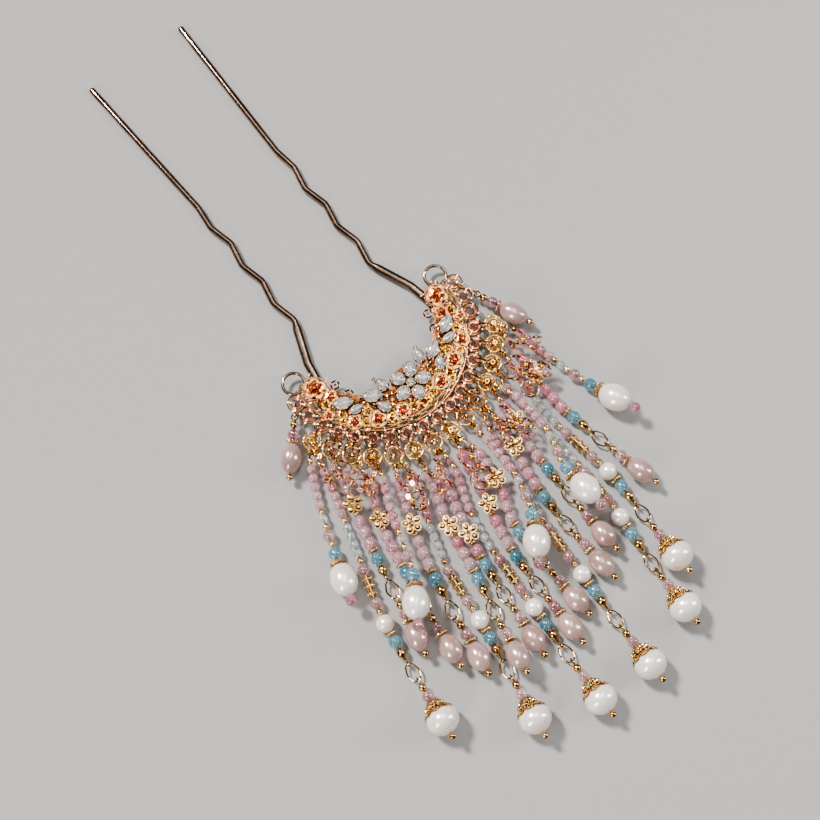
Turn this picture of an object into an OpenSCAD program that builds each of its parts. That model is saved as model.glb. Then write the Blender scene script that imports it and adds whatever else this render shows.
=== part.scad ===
// A two-pronged hairpin with a crescent head and a fringe of bead strings.
// Sizes are in millimetres. It lies on its back, prongs toward +Y, crescent horns left and right.

/* [Pin] */
// Radius of the pin wire
pin_r = 0.88; // [0.7:0.02:0.9]
// How far the prong tips reach past the eye rings
tip_y = 94.2; // [80:0.2:110]
// Sideways place of a prong tip
tip_x = 14; // [12:0.1:17]
// Where the crimps begin, past the eye rings
crimp_top = 50.7; // [46:0.1:56]
// Sideways place of the crimped stretch
crimp_x = 12.25; // [11:0.05:13]
// Sideways swing of a crimp
crimp_swing = 0.7; // [0.3:0.05:1]
// Distance from one crimp to the next
crimp_step = 6.35; // [6:0.05:6.6]
// Radius of each bend
bend_r = 3; // [1.5:0.1:4]
// Width of the hammered foot over its height
foot_flat = 1.3; // [1.1:0.05:1.4]

/* [Crescent] */
// Height of the underside of the head
head_z = 1.92; // [1.9:0.01:2.2]
// Thickness of the pierced plate
plate_t = 0.75; // [0.6:0.05:1]
// Outer radius of the plate
plate_r = 20.9; // [18:0.1:24]
// Width of the plate at its middle
waist = 8.2; // [7:0.1:9]
// How far the hollow circle sits toward the prongs
hollow_y = 4.9; // [4.4:0.1:5.4]
// From the edge of the plate to the middle of the inner rail
rail_gap = 0.1; // [0:0.05:0.2]
// Distance between rails
rail_step = 0.72; // [0.66:0.02:0.78]
// Width of a rail
rail_w = 0.5; // [0.4:0.02:0.6]
// How deep a border ring is soldered into the outer rail
border_bite = 0.12; // [0.05:0.01:0.3]
// Angle from one border ring to the next
border_step = 9.8; // [9.7:0.05:9.9]
// Hole radius of a border ring
ring_hole = 0.87; // [0.8:0.01:0.95]
// Wire width of a border ring
ring_w = 0.76; // [0.6:0.02:0.8]
// Radius of the scallop around a border ring
scallop_r = 2; // [1.95:0.01:2.05]
// Width of a scallop wire
scallop_w = 0.4; // [0.3:0.02:0.44]
// Radius of an eye ring
eye_r = 2.65; // [2.3:0.05:2.8]
// Wire radius of an eye ring
eye_wire = 0.42; // [0.3:0.02:0.46]
// Height of the flower petals over the plate
petal_h = 0.75; // [0.4:0.05:1]
// Height of the rims over the plate
rim_h = 0.45; // [0.3:0.05:0.6]
// Radius of a hole in the lattice
lattice_hole = 0.62; // [0.4:0.02:0.7]

/* [Stones] */
// Height of the widest line of a stone
girdle_z = 3.85; // [3.8:0.05:4.2]
// Height of the stone table over the widest line
table_h = 0.5; // [0.3:0.05:0.8]
// Depth of the stone point under the widest line
point_h = 0.75; // [0.5:0.05:0.8]
// Width of the table over the width of the stone
table_w = 0.6; // [0.5:0.05:0.7]

/* [Hangers] */
// Height of the hangers
hang_z = 2.6; // [2.5:0.05:2.8]
// Radius of a jump ring
jump_r = 1.7; // [1.65:0.01:1.75]
// Wire radius of a jump ring
jump_wire = 0.25; // [0.2:0.01:0.28]
// Distance from a border ring to its hanger
hang_reach = 4.7; // [4.65:0.01:4.75]
// Radius of a hanger ring
cage_r = 2.05; // [2:0.01:2.08]
// Wire radius of a hanger ring
cage_wire = 0.3; // [0.24:0.01:0.32]
// Radius of the ball in an openwork hanger
cage_ball = 0.9; // [0.8:0.05:0.95]
// Radius of the socket that holds a thread
lug_r = 0.6; // [0.55:0.01:0.65]

/* [Beads] */
// Radius of the thread
thread_r = 0.25; // [0.2:0.01:0.28]
// Radius of the hole in a bead
bore_r = 0.42; // [0.4:0.01:0.45]
// Diameter of a small pink bead
pink_d = 2.3; // [2:0.05:2.4]
// Length of a small pink bead with its gap
pink_len = 2.15; // [2.1:0.01:2.2]
// Diameter of a large rose bead
rose_d = 3; // [2.8:0.05:3.05]
// Length of a large rose bead with its gap
rose_len = 2.85; // [2.8:0.01:2.9]
// Diameter of a pale bead
pale_d = 2.2; // [2:0.05:2.3]
// Diameter of a small gold bead
gold_d = 1.5; // [1.3:0.05:1.6]
// Length of a small gold bead with its gap
gold_len = 1.5; // [1.45:0.01:1.55]
// Diameter of a spacer disc
disc_d = 2.2; // [2:0.05:2.4]
// Length of a spacer disc
disc_len = 0.8; // [0.75:0.01:0.85]
// Diameter of a cut crystal
crystal_d = 2.9; // [2.6:0.05:3]
// Length of a cut crystal with its gap
crystal_len = 2.75; // [2.7:0.01:2.8]
// Diameter of a blue bead
blue_d = 3.2; // [3:0.05:3.3]
// Length of a blue bead with its gap
blue_len = 3.2; // [3.1:0.01:3.3]
// Diameter of a small pearl
small_d = 4.3; // [4:0.05:4.4]
// Length of a small pearl with its gap
small_len = 4.4; // [4.3:0.01:4.5]
// Diameter of a ridged gold barrel
barrel_d = 2.6; // [2.4:0.05:2.7]
// Length of a ridged gold barrel with its gap
barrel_len = 5.5; // [5.4:0.05:5.6]
// Diameter of the ball that carries a flower charm
charm_ball = 2.3; // [2.1:0.05:2.4]
// Radius of the ring of petals of a flower charm
charm_r = 1.5; // [1.4:0.02:1.55]
// Thickness of a flower charm
charm_t = 0.5; // [0.4:0.05:0.6]

/* [Chain] */
// Diameter of the clamp bead that holds a thread end
clamp_d = 2.4; // [2.2:0.05:2.5]
// Length of the clamp bead to the middle of its loop
clamp_len = 4.1; // [4:0.05:4.2]
// Length of a link between the loops it joins
link_len = 4.4; // [4.2:0.05:4.6]
// Half width of a link
link_half = 1.5; // [1.3:0.05:1.6]
// Wire radius of links and loops
link_wire = 0.21; // [0.18:0.01:0.22]
// Radius of a loop
loop_r = 0.75; // [0.7:0.01:0.8]
// Length of the head pin from its loop to its bead end
eye_len = 2.8; // [2.75:0.05:2.9]
// Radius of the head pin wire
stem_r = 0.27; // [0.22:0.01:0.28]
// Diameter of the gold bead on a head pin
cap_bead = 2; // [1.8:0.05:2.1]
// Diameter of the ball that ends a head pin
end_ball = 1.7; // [1.5:0.05:2.1]

/* [Pearls] */
// Diameter of a mauve pearl
mauve_d = 5.2; // [5:0.05:5.5]
// Length of a mauve pearl
mauve_len = 7.2; // [6.8:0.05:7.6]
// Diameter of a round pearl
round_d = 7.6; // [7:0.05:7.7]
// Length of a round pearl, a little flattened
round_len = 6.9; // [6.6:0.05:7.6]
// Diameter of an upper oval pearl
oval_d = 6.4; // [6:0.05:6.5]
// Length of an upper oval pearl
oval_len = 8.4; // [8:0.05:8.5]
// Diameter of a horn drop pearl
horn_d = 4.9; // [4.6:0.05:5]
// Length of a horn drop pearl
horn_len = 7.4; // [7:0.05:7.5]

/* [Hidden] */
// Strings: name, kind, border ring, bare lead, beads before the middle, beads after it,
// lift of the run, lift of the pearl, way points on the resting surface.
STRINGS = [
  ["o1", "o", 2, 2.0, 5, 0, 0, 0, [[-30, -17.5], [-34.8, -27], [-39.1, -38.5], [-41.1, -44.4]]],
  ["o2", "o", 5, 2.0, 6, 0, 3.9, 3.9,
    [[-19.5, -31.5], [-22.1, -37.1], [-24.9, -44.2], [-27.9, -53.1], [-31.8, -58.9]]],
  ["o3", "o", 10, 3.0, 5, 0, 3.9, 3.9, [[4.8, -39.8], [4.3, -51.4], [1.1, -61], [-2.6, -66.4]]],
  ["o4", "o", 12, 3.5, 5, 0, 3.9, 3.9,
    [[16.4, -33.2], [17.1, -42.9], [16.5, -49.7], [14.7, -55.1], [14.6, -62.8]]],
  ["o5", "o", 15, 2.4, 5, 0, 0, 0,
    [[28.2, -23.2], [29.8, -31.2], [31.4, -38.6], [32.8, -43.6], [35, -50.5]]],
  ["r1", "r", 2, 3.0, 6, 4, 0, 0,
    [[-28.6, -18.6], [-29.8, -25], [-32.7, -33.9], [-34.9, -41.5], [-40.1, -58.3], [-43.2, -81.7]]],
  ["r2", "r", 6, 3.0, 5, 4, 0, 0,
    [[-13.4, -37.2], [-17.4, -45.7], [-21.4, -58.5], [-23, -72.3], [-27.2, -94.8]]],
  ["r3", "r", 8, 4.5, 5, 4, 0, 0,
    [[-4.7, -40], [-7.8, -48], [-9.8, -56.4], [-10.6, -65.1], [-11.5, -77.4], [-13.2, -101]]],
  ["r4", "r", 11, 4.6, 6, 4, 0, 0,
    [[7, -40], [4.8, -53], [2.9, -66], [2, -78], [1.2, -91], [0.4, -103]]],
  ["r5", "r", 13, 2.2, 7, 4, 0, 0,
    [[17.2, -32.7], [17.8, -41], [18.2, -48.3], [18.2, -55.7], [18.1, -67.7], [17.5, -73.3], [15, -98.1]]],
  ["r6", "r", 14, 2.2, 4, 4, 0, 0,
    [[21.9, -28.5], [20.7, -38.9], [20.7, -46.3], [21.7, -56], [22.6, -66], [22.3, -76], [21.4, -87.5]]],
  ["m1", "m", 3, 2.0, 2, 3, 0, 0, [[-25.9, -23.8], [-29.1, -33.2], [-32.3, -46], [-36.5, -65.8]]],
  ["m2", "m", 4, 2.0, 3, 3, 0, 0, [[-22.3, -30.2], [-26.2, -38.9], [-29, -51.6], [-32.1, -72.1]]],
  ["m3", "m", 6, 2.0, 3, 3, 0, 0, [[-17.4, -35.3], [-20.8, -43.6], [-24.6, -56.5], [-28.2, -77.1]]],
  ["m4", "m", 7, 2.0, 4, 3, 0, 2.2, [[-11, -39.4], [-14.4, -48.7], [-17, -62.5], [-21.5, -82.5]]],
  ["m5", "m", 8, 2.6, 5, 1, 0, 0, [[-7.8, -39.8], [-11.1, -49.6], [-13.7, -61.8], [-16.1, -82.3]]],
  ["m6", "m", 9, 1.8, 4, 3, 0, 0, [[-1.6, -40.3], [-3.9, -50], [-6.9, -63.7], [-7.8, -84.6]]],
  ["m7", "m", 9, 3.8, 2, 3, 0, 0, [[2, -41], [0.3, -51], [-2.9, -61], [-2.8, -81.1]]],
  ["m8", "m", 11, 2.2, 2, 3, 0, 0, [[10.4, -38.9], [8.9, -45.8], [7, -58.4], [7.1, -78.5]]],
  ["m9", "m", 12, 2.2, 1, 3, 0, 0, [[13.8, -37.3], [12.6, -44.7], [12, -53.4], [11.8, -73.6]]],
  ["m10", "m", 15, 4.0, 2, 3, 0, 0,
    [[25.2, -25], [24.3, -35.7], [24.2, -43.7], [24.8, -47.8], [28.4, -67.9]]],
];
// Border rings with a hanger, and those hangers that are openwork with a ball.
HANGERS = [2, 3, 4, 5, 6, 7, 8, 9, 10, 11, 12, 13, 14, 15];
OPENWORK = [2, 5, 7, 9, 12, 13, 14, 15];
// Stones of the right half: x, y, angle, length, width, form 1 marquise 2 pear, claws.
STONES = [
  [15.7, -11.9, 28, 5.2, 3, 1],
  [9.2, -14.9, 32, 5.2, 2.9, 1],
  [8.6, -18.5, 60, 3.6, 2.4, 2],
  [14.2, -15, 7, 4.2, 2, 1],
  [5.7, -14, 75, 3.4, 2.4, 2],
];
// Flowers of the right half: x, y, diameter, 1 with a rim.
FLOWERS = [
  [18.7, -4.7, 5.9, 1],
  [16.9, -8.7, 3.4, 0],
  [20, -12, 2.6, 0],
  [16.2, -17, 4.4, 1],
  [11.6, -19.9, 4.8, 1],
  [5.7, -22, 4.4, 1],
];
CENTRE = [0, -3.9];
// Places on the head are written for this radius of the plate, and move in or out with the real one.
drawn_r = 20.9;
hollow_r = plate_r + hollow_y - waist;
rail_r = plate_r + rail_gap;
border_r = rail_r + 2 * rail_step + rail_w / 2 + ring_hole + ring_w - border_bite;
eye_at = [21.7, -0.5];
FLOWER_AT = on_head([0, -17.9]);
STEPS = 6;
TAPER = 0.15;
INSET = 0.12;

function unit(v) = v / norm(v);
function polar(r, a) = CENTRE + r * [cos(a), sin(a)];
function on_head(p) = p + (plate_r - drawn_r) * unit(p - CENTRE);
function ring_angle(i) = (i - 9) * border_step - 90;
function ring_at(i) = polar(border_r, ring_angle(i));
function hanger_at(i) = polar(border_r + hang_reach, ring_angle(i));

// Route of a string: a smooth line through the way points, from inside the socket of its hanger.
function spline(a, b, c, d, t) =
  0.5 * (2 * b + (c - a) * t + (2 * a - 5 * b + 4 * c - d) * t * t + (3 * b - a - 3 * c + d) * t * t * t);
function way(s) =
  let (c = hanger_at(s[2]), p = s[8], n = len(p))
  concat([c + 2.6 * unit(p[0] - c)], p, [p[n - 1] + 20 * unit(p[n - 1] - p[n - 2])]);
function smooth(p) = [
  for (i = [0 : len(p) - 2], j = [0 : STEPS - 1])
    spline(p[max(i - 1, 0)], p[i], p[i + 1], p[min(i + 2, len(p) - 1)], j / STEPS),
  p[len(p) - 1]
];
function lengths(f) = [
  for (i = 0, s = 0; i < len(f); s = s + (i + 1 < len(f) ? norm(f[i + 1] - f[i]) : 0), i = i + 1) s
];
function at(s, l, f) = [
  lookup(s, [for (i = [0 : len(f) - 1]) [l[i], f[i].x]]),
  lookup(s, [for (i = [0 : len(f) - 1]) [l[i], f[i].y]])
];

// Row of pieces of a string: what each is and how long.
function many(n, item) = [for (i = [1 : 1 : n]) item];
function row_end(pearl) =
  [["disc", disc_len], ["blue", blue_len], ["clamp", clamp_len], ["link", link_len], [pearl, drop_len(pearl)]];
function row_of(s) = concat(
  [["socket", 1], ["lead", s[3]]],
  s[1] == "m" ? concat(
    many(s[4], ["rose", rose_len]),
    [["gold", gold_len], ["charm", charm_ball + 0.1], ["gold", gold_len]],
    many(s[5], ["rose", rose_len]),
    row_end("mauve")
  ) : s[1] == "r" ? concat(
    many(s[4], ["pink", pink_len]),
    [["gold", gold_len]],
    many(s[5], ["pale", pink_len]),
    [["gold", gold_len], ["crystal", crystal_len], ["barrel", barrel_len], ["crystal", crystal_len]],
    [["gold", gold_len], ["small", small_len]],
    row_end("round")
  ) : concat(
    many(s[4], ["pink", pink_len]),
    [["gold", gold_len], ["pale", pink_len], ["gold", gold_len], ["crystal", crystal_len]],
    [["gold", gold_len], ["blue", blue_len], ["oval", drop_len("oval")]]
  )
);
// Distance from the start of a drop to its pearl, and the length of the whole drop.
cup_len = 1.5;
function pearl_start(kind) = kind == "oval" ? 1 : eye_len + crystal_len + (kind == "round" ? cup_len : disc_len);
function pearl_len(kind) =
  kind == "oval" ? oval_len : kind == "round" ? round_len : kind == "mauve" ? mauve_len : horn_len;
function pearl_d(kind) =
  kind == "oval" ? oval_d : kind == "round" ? round_d : kind == "mauve" ? mauve_d : horn_d;
function drop_len(kind) = pearl_start(kind) + pearl_len(kind) + (kind == "oval" ? crystal_d : end_ball - 0.2);

function ends(row) = [for (i = 0, s = 0; i <= len(row); s = s + (i < len(row) ? row[i][1] : 0), i = i + 1) s];

// Height of the line of a string along its length.
function heights(s, row, b) =
  let (
    run = crystal_d / 2 + 0.15 + s[6],
    chain = loop_r + link_wire + 0.5,
    last = len(row) - 1,
    kind = row[last][0],
    from = kind == "oval" ? blue_d / 2 + 0.15 + s[6] : chain,
    mid = pearl_start(kind) + pearl_len(kind) / 2,
    top = pearl_d(kind) / 2 + 0.2 + s[7]
  )
  concat(
    [[0, hang_z], [1, hang_z], [max(b[2], 4.5), run]],
    [for (i = [2 : last - 1]) let (k = row[i][0])
      each k == "small" ? [[b[i] - 6, run], [b[i], small_d / 2 + 0.15], [b[i + 1], small_d / 2 + 0.15]]
        : k == "blue" && kind == "round" ? [[b[i], small_d / 2 + 0.05], [b[i + 1], small_d / 2 - 0.3]]
        : k == "blue" && kind == "mauve" ? [[b[i], blue_d / 2 + 0.2], [b[i + 1], blue_d / 2 + 0.15]]
        : k == "blue" ? [[b[i], from]]
        : k == "link" ? [[b[i], chain]]
        : []],
    [[b[last], from], [b[last + 1], from + (top - from) * row[last][1] / mid]]
  );
// Pieces of a string in place: what, start point, end point.
function placed(s) =
  let (
    f = smooth(way(s)),
    l = lengths(f),
    row = row_of(s),
    b = ends(row),
    h = heights(s, row, b),
    p = [for (x = b) concat(at(x, l, f), lookup(x, h))]
  )
  [for (i = [0 : len(row) - 1]) [row[i][0], p[i], p[i + 1], row[i][1]]];

// Radius of the thread along each kind of piece: beads strung tight make one thick stretch.
function tube_r(kind) =
  kind == "pink" ? pink_d / 2
  : kind == "rose" ? rose_d / 2
  : kind == "pale" ? pale_d / 2
  : kind == "gold" ? gold_d / 2
  : kind == "disc" ? disc_d / 2
  : thread_r;
function on_thread(item) = item[0] != "link" && item[0] != "mauve" && item[0] != "round";
function middle(s) = let (q = placed(s), n = len(q) - 1, d = unit(q[n][2] - q[n][1]))
  [q[n][1] + d * (pearl_start(q[n][0]) + pearl_len(q[n][0]) / 2), d, q[n][0]];
function reach(a, b, u) = sqrt(a * a * u * u + b * b * (1 - u * u));
function low_x(m) = m[0].x - reach(pearl_len(m[2]) / 2, pearl_d(m[2]) / 2, m[1].x);
function high_x(m) = m[0].x + reach(pearl_len(m[2]) / 2, pearl_d(m[2]) / 2, m[1].x);
function low_y(m) = m[0].y + m[1].y * (pearl_len(m[2]) / 2 + end_ball / 2 - 0.1) - end_ball / 2;

MIDDLES = [for (s = STRINGS) middle(s)];
// The whole piece is moved so that its outline is centred on the origin.
HOME = [
  -(min([for (m = MIDDLES) low_x(m)]) + max([for (m = MIDDLES) high_x(m)])) / 2,
  -(min([for (m = MIDDLES) low_y(m)]) + tip_y) / 2,
  0
];

// Puts the drawn thing on the line from p to q, its height running along the line.
module along(p, q) {
  d = q - p;
  translate(p)
    rotate([0, acos(d.z / norm(d)), atan2(d.y, d.x)])
      children();
}

// Round solid about the height line from a half outline, with a hole along it.
module turned(hole, sides = 24) {
  rotate_extrude($fn = sides)
    difference() {
      children();
      translate([-20, -5])
        square([20 + hole, 60]);
    }
}

module loop(r, wire) {
  rotate_extrude($fn = 24)
    translate([r, 0])
      circle(wire, $fn = 20);
}

// Wire pin: one wire swept along both prongs and the hidden arc, hammered wider at each foot.
foot_at = [15.8, 1.7];
arc_r = 16.8;
arc_y = -4.5;
function prong(s) = concat(
  [[s * tip_x, tip_y], [s * (crimp_x - 0.05), crimp_top]],
  [for (i = [1 : 6]) [s * (crimp_x + crimp_swing * (i % 2 == 1 ? 1 : -1)), crimp_top - crimp_step * i]],
  [[s * foot_at.x, foot_at.y], [s * arc_r, foot_at.y - 5.6], [s * arc_r, arc_y]]
);
function turn(a, b, c) = let (u = unit(b - a), v = unit(c - b)) atan2(cross(u, v), u * v);
// Rings of one bend: place, direction, half width and half height of the wire.
function bend(a, b, c, wide) =
  let (
    t = turn(a, b, c),
    u = unit(b - a),
    side = (t < 0 ? -1 : 1) * [-u.y, u.x],
    hub = b - u * bend_r * tan(abs(t) / 2) + side * bend_r
  )
  [for (k = [0 : 2]) let (w = t * k / 2, g = [
      [cos(w), -sin(w)],
      [sin(w), cos(w)]
    ])
    [hub - g * side * bend_r, g * u, pin_r * wide]];
function tip_rings(p) =
  let (u = unit(p[1] - p[0]))
  [for (k = [10, 35, 62]) [p[0] + u * pin_r * (1 - sin(90 - k)), u, pin_r * sin(k)]];
function foot_rings(p) =
  let (u = unit(p[8] - p[7]), n = norm(p[8] - p[7]))
  [for (k = [[0.1, 1], [0.2, foot_flat]]) [p[7] + u * n * k[0], u, pin_r * k[1]]];
function prong_rings(s) = let (p = prong(s)) concat(
  tip_rings(p),
  [[p[0] + unit(p[1] - p[0]) * pin_r, unit(p[1] - p[0]), pin_r]],
  [for (i = [1 : 7]) each bend(p[i - 1], p[i], p[i + 1], 1)],
  foot_rings(p),
  [for (i = [8 : 9]) each bend(p[i - 1], p[i], p[i + 1], foot_flat)]
);
function turned_back(rings) = [for (i = [len(rings) - 1 : -1 : 0]) [rings[i][0], -rings[i][1], rings[i][2]]];
function wire_ring(r) =
  let (side = [-r[1].y, r[1].x], h = min(r[2], pin_r) * (r[2] > pin_r ? pin_r / sqrt(r[2] * pin_r) : 1))
  [for (j = [0 : 11]) [
    r[0].x + side.x * r[2] * cos(j * 30),
    r[0].y + side.y * r[2] * cos(j * 30),
    pin_r + h * sin(j * 30)
  ]];
// Closed tube over rings of equal count, wound outward.
module tube(rings, n) {
  last = len(rings) - 1;
  polyhedron(
    [for (r = rings) each r],
    concat(
      [[for (j = [0 : n - 1]) j]],
      [for (i = [0 : last - 1], j = [0 : n - 1]) let (k = (j + 1) % n)
        each [[i * n + k, i * n + j, i * n + n + j], [i * n + k, i * n + n + j, i * n + n + k]]],
      [[for (j = [0 : n - 1]) last * n + n - 1 - j]]
    )
  );
}

module pin() {
  rings = concat(
    prong_rings(-1),
    [for (k = [0 : 14]) let (w = 180 + k * 180 / 14, wide = 1 + (foot_flat - 1) * max(0, 1 - min(k, 14 - k) / 3))
      [[arc_r * cos(w), arc_y + arc_r * sin(w)], [-sin(w), cos(w)], pin_r * wide]],
    turned_back(prong_rings(1))
  );
  color("#6b4a3c")
    tube([for (r = rings) wire_ring(r)], 12);
}

// Flat pieces of the crescent head.
module band(r, w) {
  difference() {
    circle(r + w / 2, $fn = 96);
    circle(r - w / 2, $fn = 96);
  }
}

module bar(p, q, w) {
  d = q - p;
  translate(p)
    rotate(atan2(d.y, d.x))
      translate([0, -w / 2])
        square([norm(d), w]);
}

module strut(p, q, w) {
  bar(on_head(p), on_head(q), w);
}

module mirrored() {
  children();
  mirror([1, 0, 0])
    children();
}

module lattice() {
  for (k = [0 : 2]) {
    r = plate_r - 1.7 - 2.3 * k;
    step = 2.1 / r * 180 / PI;
    for (j = [-22 : 22]) {
      h = polar(r, (j + (k % 2) / 2) * step - 90);
      if (norm(h - CENTRE - [0, hollow_y]) > hollow_r + lattice_hole + 0.5 && h.y < -8)
        translate(h)
          circle(lattice_hole, $fn = 20);
    }
  }
}

module crescent() {
  difference() {
    translate(CENTRE)
      circle(plate_r, $fn = 96);
    translate(CENTRE + [0, hollow_y])
      circle(hollow_r, $fn = 96);
    translate([-30, -4.6])
      square([60, 40]);
    lattice();
  }
}

module rails() {
  difference() {
    translate(CENTRE)
      for (k = [0 : 2]) {
        band(rail_r + k * rail_step, rail_w);
      }
    polygon(concat(
      [CENTRE],
      [polar(60, 4.2), polar(90, 60), polar(90, 120), polar(60, 175.8)]
    ));
  }
  for (j = [0 : 2 : 17]) {
    a = (ring_angle(j) + ring_angle(j + 1)) / 2;
    bar(polar(rail_r - 0.4, a - 1.6), polar(rail_r + 1.6, a + 1.6), 0.4);
    bar(polar(rail_r - 0.4, a + 1.6), polar(rail_r + 1.6, a - 1.6), 0.4);
  }
}

module border() {
  for (i = [0 : 18]) {
    translate(ring_at(i)) {
      band(scallop_r, scallop_w);
      difference() {
        circle(ring_hole + ring_w, $fn = 32);
        circle(ring_hole, $fn = 32);
      }
    }
  }
}

module scroll(p, r) {
  translate(on_head(p))
    band(r, 0.5);
}

module seat() {
  translate(FLOWER_AT)
    difference() {
      circle(4.5, $fn = 64);
      for (j = [0 : 4]) {
        rotate(j * 72 - 90)
          translate([3.2, 0])
            circle(0.75, $fn = 24);
      }
    }
}

module flat_work() {
  crescent();
  rails();
  border();
  seat();
  mirrored() {
    for (f = FLOWERS) {
      translate(on_head([f[0], f[1]]))
        circle(f[2] / 2, $fn = 40);
    }
    scroll([14.2, -6.9], 0.95);
    scroll([13, -10.7], 0.95);
    strut([14.9, -7.5], [17.4, -8.8], 0.6);
    strut([13.7, -11.1], [16.4, -12.4], 0.6);
    strut([18.7, -4.7], eye_at - [0.7, 1.2], 0.9);
    strut([5.7, -14], [4.8, -17.5], 1);
    translate(on_head([5.7, -14]))
      circle(0.9, $fn = 24);
    translate(on_head([6.3, -11.7]))
      circle(0.55, $fn = 20);
    strut([5.7, -14], [6.3, -11.7], 0.4);
    strut([9.2, -14.9], [9.6, -17], 1.2);
  }
}

// Rims of the flowers, stone settings and claws, standing on the flat work.
module stone_outline(l, w, form, grow, n) {
  polygon([for (i = [0 : n - 1]) edge_point(l + grow, w + grow, form, i * 360 / n)]);
}

module setting(s) {
  translate(on_head([s[0], s[1]]))
    rotate(s[2])
      difference() {
        stone_outline(s[3], s[4], s[5], 0.5, 16);
        stone_outline(s[3], s[4], s[5], -0.7, 16);
      }
}

module rims() {
  mirrored() {
    for (f = FLOWERS) {
      if (f[3] == 1)
        translate(on_head([f[0], f[1]]))
          band(f[2] / 2 - 0.22, 0.44);
    }
    setting(STONES[0]);
    setting(STONES[1]);
  }
}

module petals() {
  mirrored() {
    for (f = FLOWERS) {
      d = f[2] - f[3] * 0.9;
      for (j = [0 : 4]) {
        translate(on_head([f[0], f[1]]))
          rotate(j * 72 + 18)
            translate([d * 0.29, 0])
              circle(d * 0.2, $fn = 24);
      }
    }
  }
}

module claw(s, e) {
  translate(on_head([s[0], s[1]]))
    rotate(s[2])
      translate([e * (s[3] / 2 + 0.42), 0])
        circle(0.28, $fn = 16);
}

module claws() {
  mirrored() {
    claw(STONES[0], 1);
    claw(STONES[0], -1);
    claw(STONES[1], 1);
    claw(STONES[1], -1);
    claw(STONES[2], -1);
    claw(STONES[3], 1);
  }
  for (j = [0 : 4]) {
    translate(FLOWER_AT)
      rotate(j * 72 - 54)
        translate([4.1, 0])
          circle(0.28, $fn = 16);
  }
}

module crown() {
  top = head_z + plate_t;
  color("#c98a6a") {
    translate([0, 0, head_z])
      linear_extrude(plate_t)
        flat_work();
    translate([0, 0, head_z + 0.3])
      linear_extrude(plate_t - 0.3 + rim_h)
        rims();
    translate([0, 0, head_z + 0.35])
      linear_extrude(plate_t - 0.35 + petal_h)
        petals();
    translate([0, 0, head_z + 0.4])
      linear_extrude(girdle_z + 0.2 - head_z - 0.4)
        claws();
    for (s = [-1, 1]) {
      for (f = FLOWERS) {
        p = on_head([f[0], f[1]]);
        translate([s * p.x, p.y, top - 0.2])
          cylinder(r1 = f[2] * 0.15, r2 = f[2] * 0.08, h = petal_h + 0.5, $fn = 24);
      }
      eye = on_head(eye_at);
      translate([s * eye.x, eye.y, head_z + eye_wire + 0.06])
        loop(eye_r, eye_wire);
      grain = on_head([6.3, -11.7]);
      translate([s * grain.x, grain.y, top - 0.1])
        turned(0)
          circle(0.6, $fn = 24);
    }
  }
}

// Cut stones with a table, eight edges around.
function edge_point(l, w, form, a) = [
  l / 2 * cos(a),
  w / 2 * sin(a) * (form == 1 ? abs(sin(a)) : form == 2 ? 1 - 0.4 * cos(a) : 1)
];

module gem(l, w, form) {
  low = [for (i = [0 : 7]) concat(edge_point(l, w, form, i * 45), 0)];
  mid = [for (i = [0 : 7]) concat(edge_point(l, w, form, i * 45), 0.12)];
  top = [for (i = [0 : 7]) concat(edge_point(l * table_w, w * table_w, form, i * 45), table_h)];
  polyhedron(
    concat(low, mid, top, [[0, 0, -point_h]]),
    concat(
      [[for (i = [0 : 7]) 23 - i]],
      [for (i = [0 : 7]) each let (j = (i + 1) % 8) [
        [i, j, 24],
        [j, i, 8 + i],
        [j, 8 + i, 8 + j],
        [8 + j, 8 + i, 16 + i],
        [8 + j, 16 + i, 16 + j]
      ]]
    )
  );
}

module stones() {
  color("#eef3f6")
    translate([0, 0, girdle_z]) {
      for (s = [-1, 1], g = STONES) {
        p = on_head([g[0], g[1]]);
        translate([s * p.x, p.y, 0])
          rotate([0, 0, s > 0 ? g[2] : 180 - g[2]])
            gem(g[3], g[4], g[5]);
      }
      for (j = [0 : 4]) {
        translate([FLOWER_AT.x, FLOWER_AT.y, 0])
          rotate([0, 0, j * 72 - 90])
            translate([3.2, 0, 0])
              rotate([0, 0, 180])
                gem(3.7, 3.1, 0);
      }
      translate([FLOWER_AT.x, FLOWER_AT.y, 0.1])
        gem(2, 2, 0);
    }
}

module jump_rings() {
  color("#c9a07c")
    for (i = HANGERS) {
      c = polar(border_r + jump_r + 0.05, ring_angle(i));
      translate([c.x, c.y, hang_z])
        rotate([90, 0, ring_angle(i)])
          loop(jump_r, jump_wire);
    }
}

// Hangers: a ring with sockets toward its strings, some with a ball on three spokes.
module hanger(i) {
  c = hanger_at(i);
  translate([c.x, c.y, hang_z]) {
    difference() {
      union() {
        rotate([0, 0, ring_angle(i) + 180])
          loop(cage_r, cage_wire);
        for (s = STRINGS) {
          if (s[2] == i)
            rotate([0, 90, atan2(s[8][0].y - c.y, s[8][0].x - c.x)])
              translate([0, 0, cage_r - 0.1])
                cylinder(r = lug_r, h = 1.45, $fn = 24);
        }
      }
      for (s = STRINGS) {
        if (s[2] == i)
          rotate([0, 90, atan2(s[8][0].y - c.y, s[8][0].x - c.x)])
            translate([0, 0, cage_r + cage_wire + 0.1])
              cylinder(r = bore_r, h = 2, $fn = 24);
      }
    }
    if (len([for (k = OPENWORK) if (k == i) k]) > 0) {
      rotate([0, 0, ring_angle(i) + 180])
        sphere(cage_ball, $fn = 32);
      translate([0, 0, -0.17])
        linear_extrude(0.34)
          for (j = [0 : 2]) {
            rotate(ring_angle(i) + 120 * j)
              translate([0, -0.2])
                square([cage_r, 0.4]);
          }
    }
  }
}

module cages() {
  color("#d8a648")
    for (i = HANGERS) {
      hanger(i);
    }
}

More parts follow.
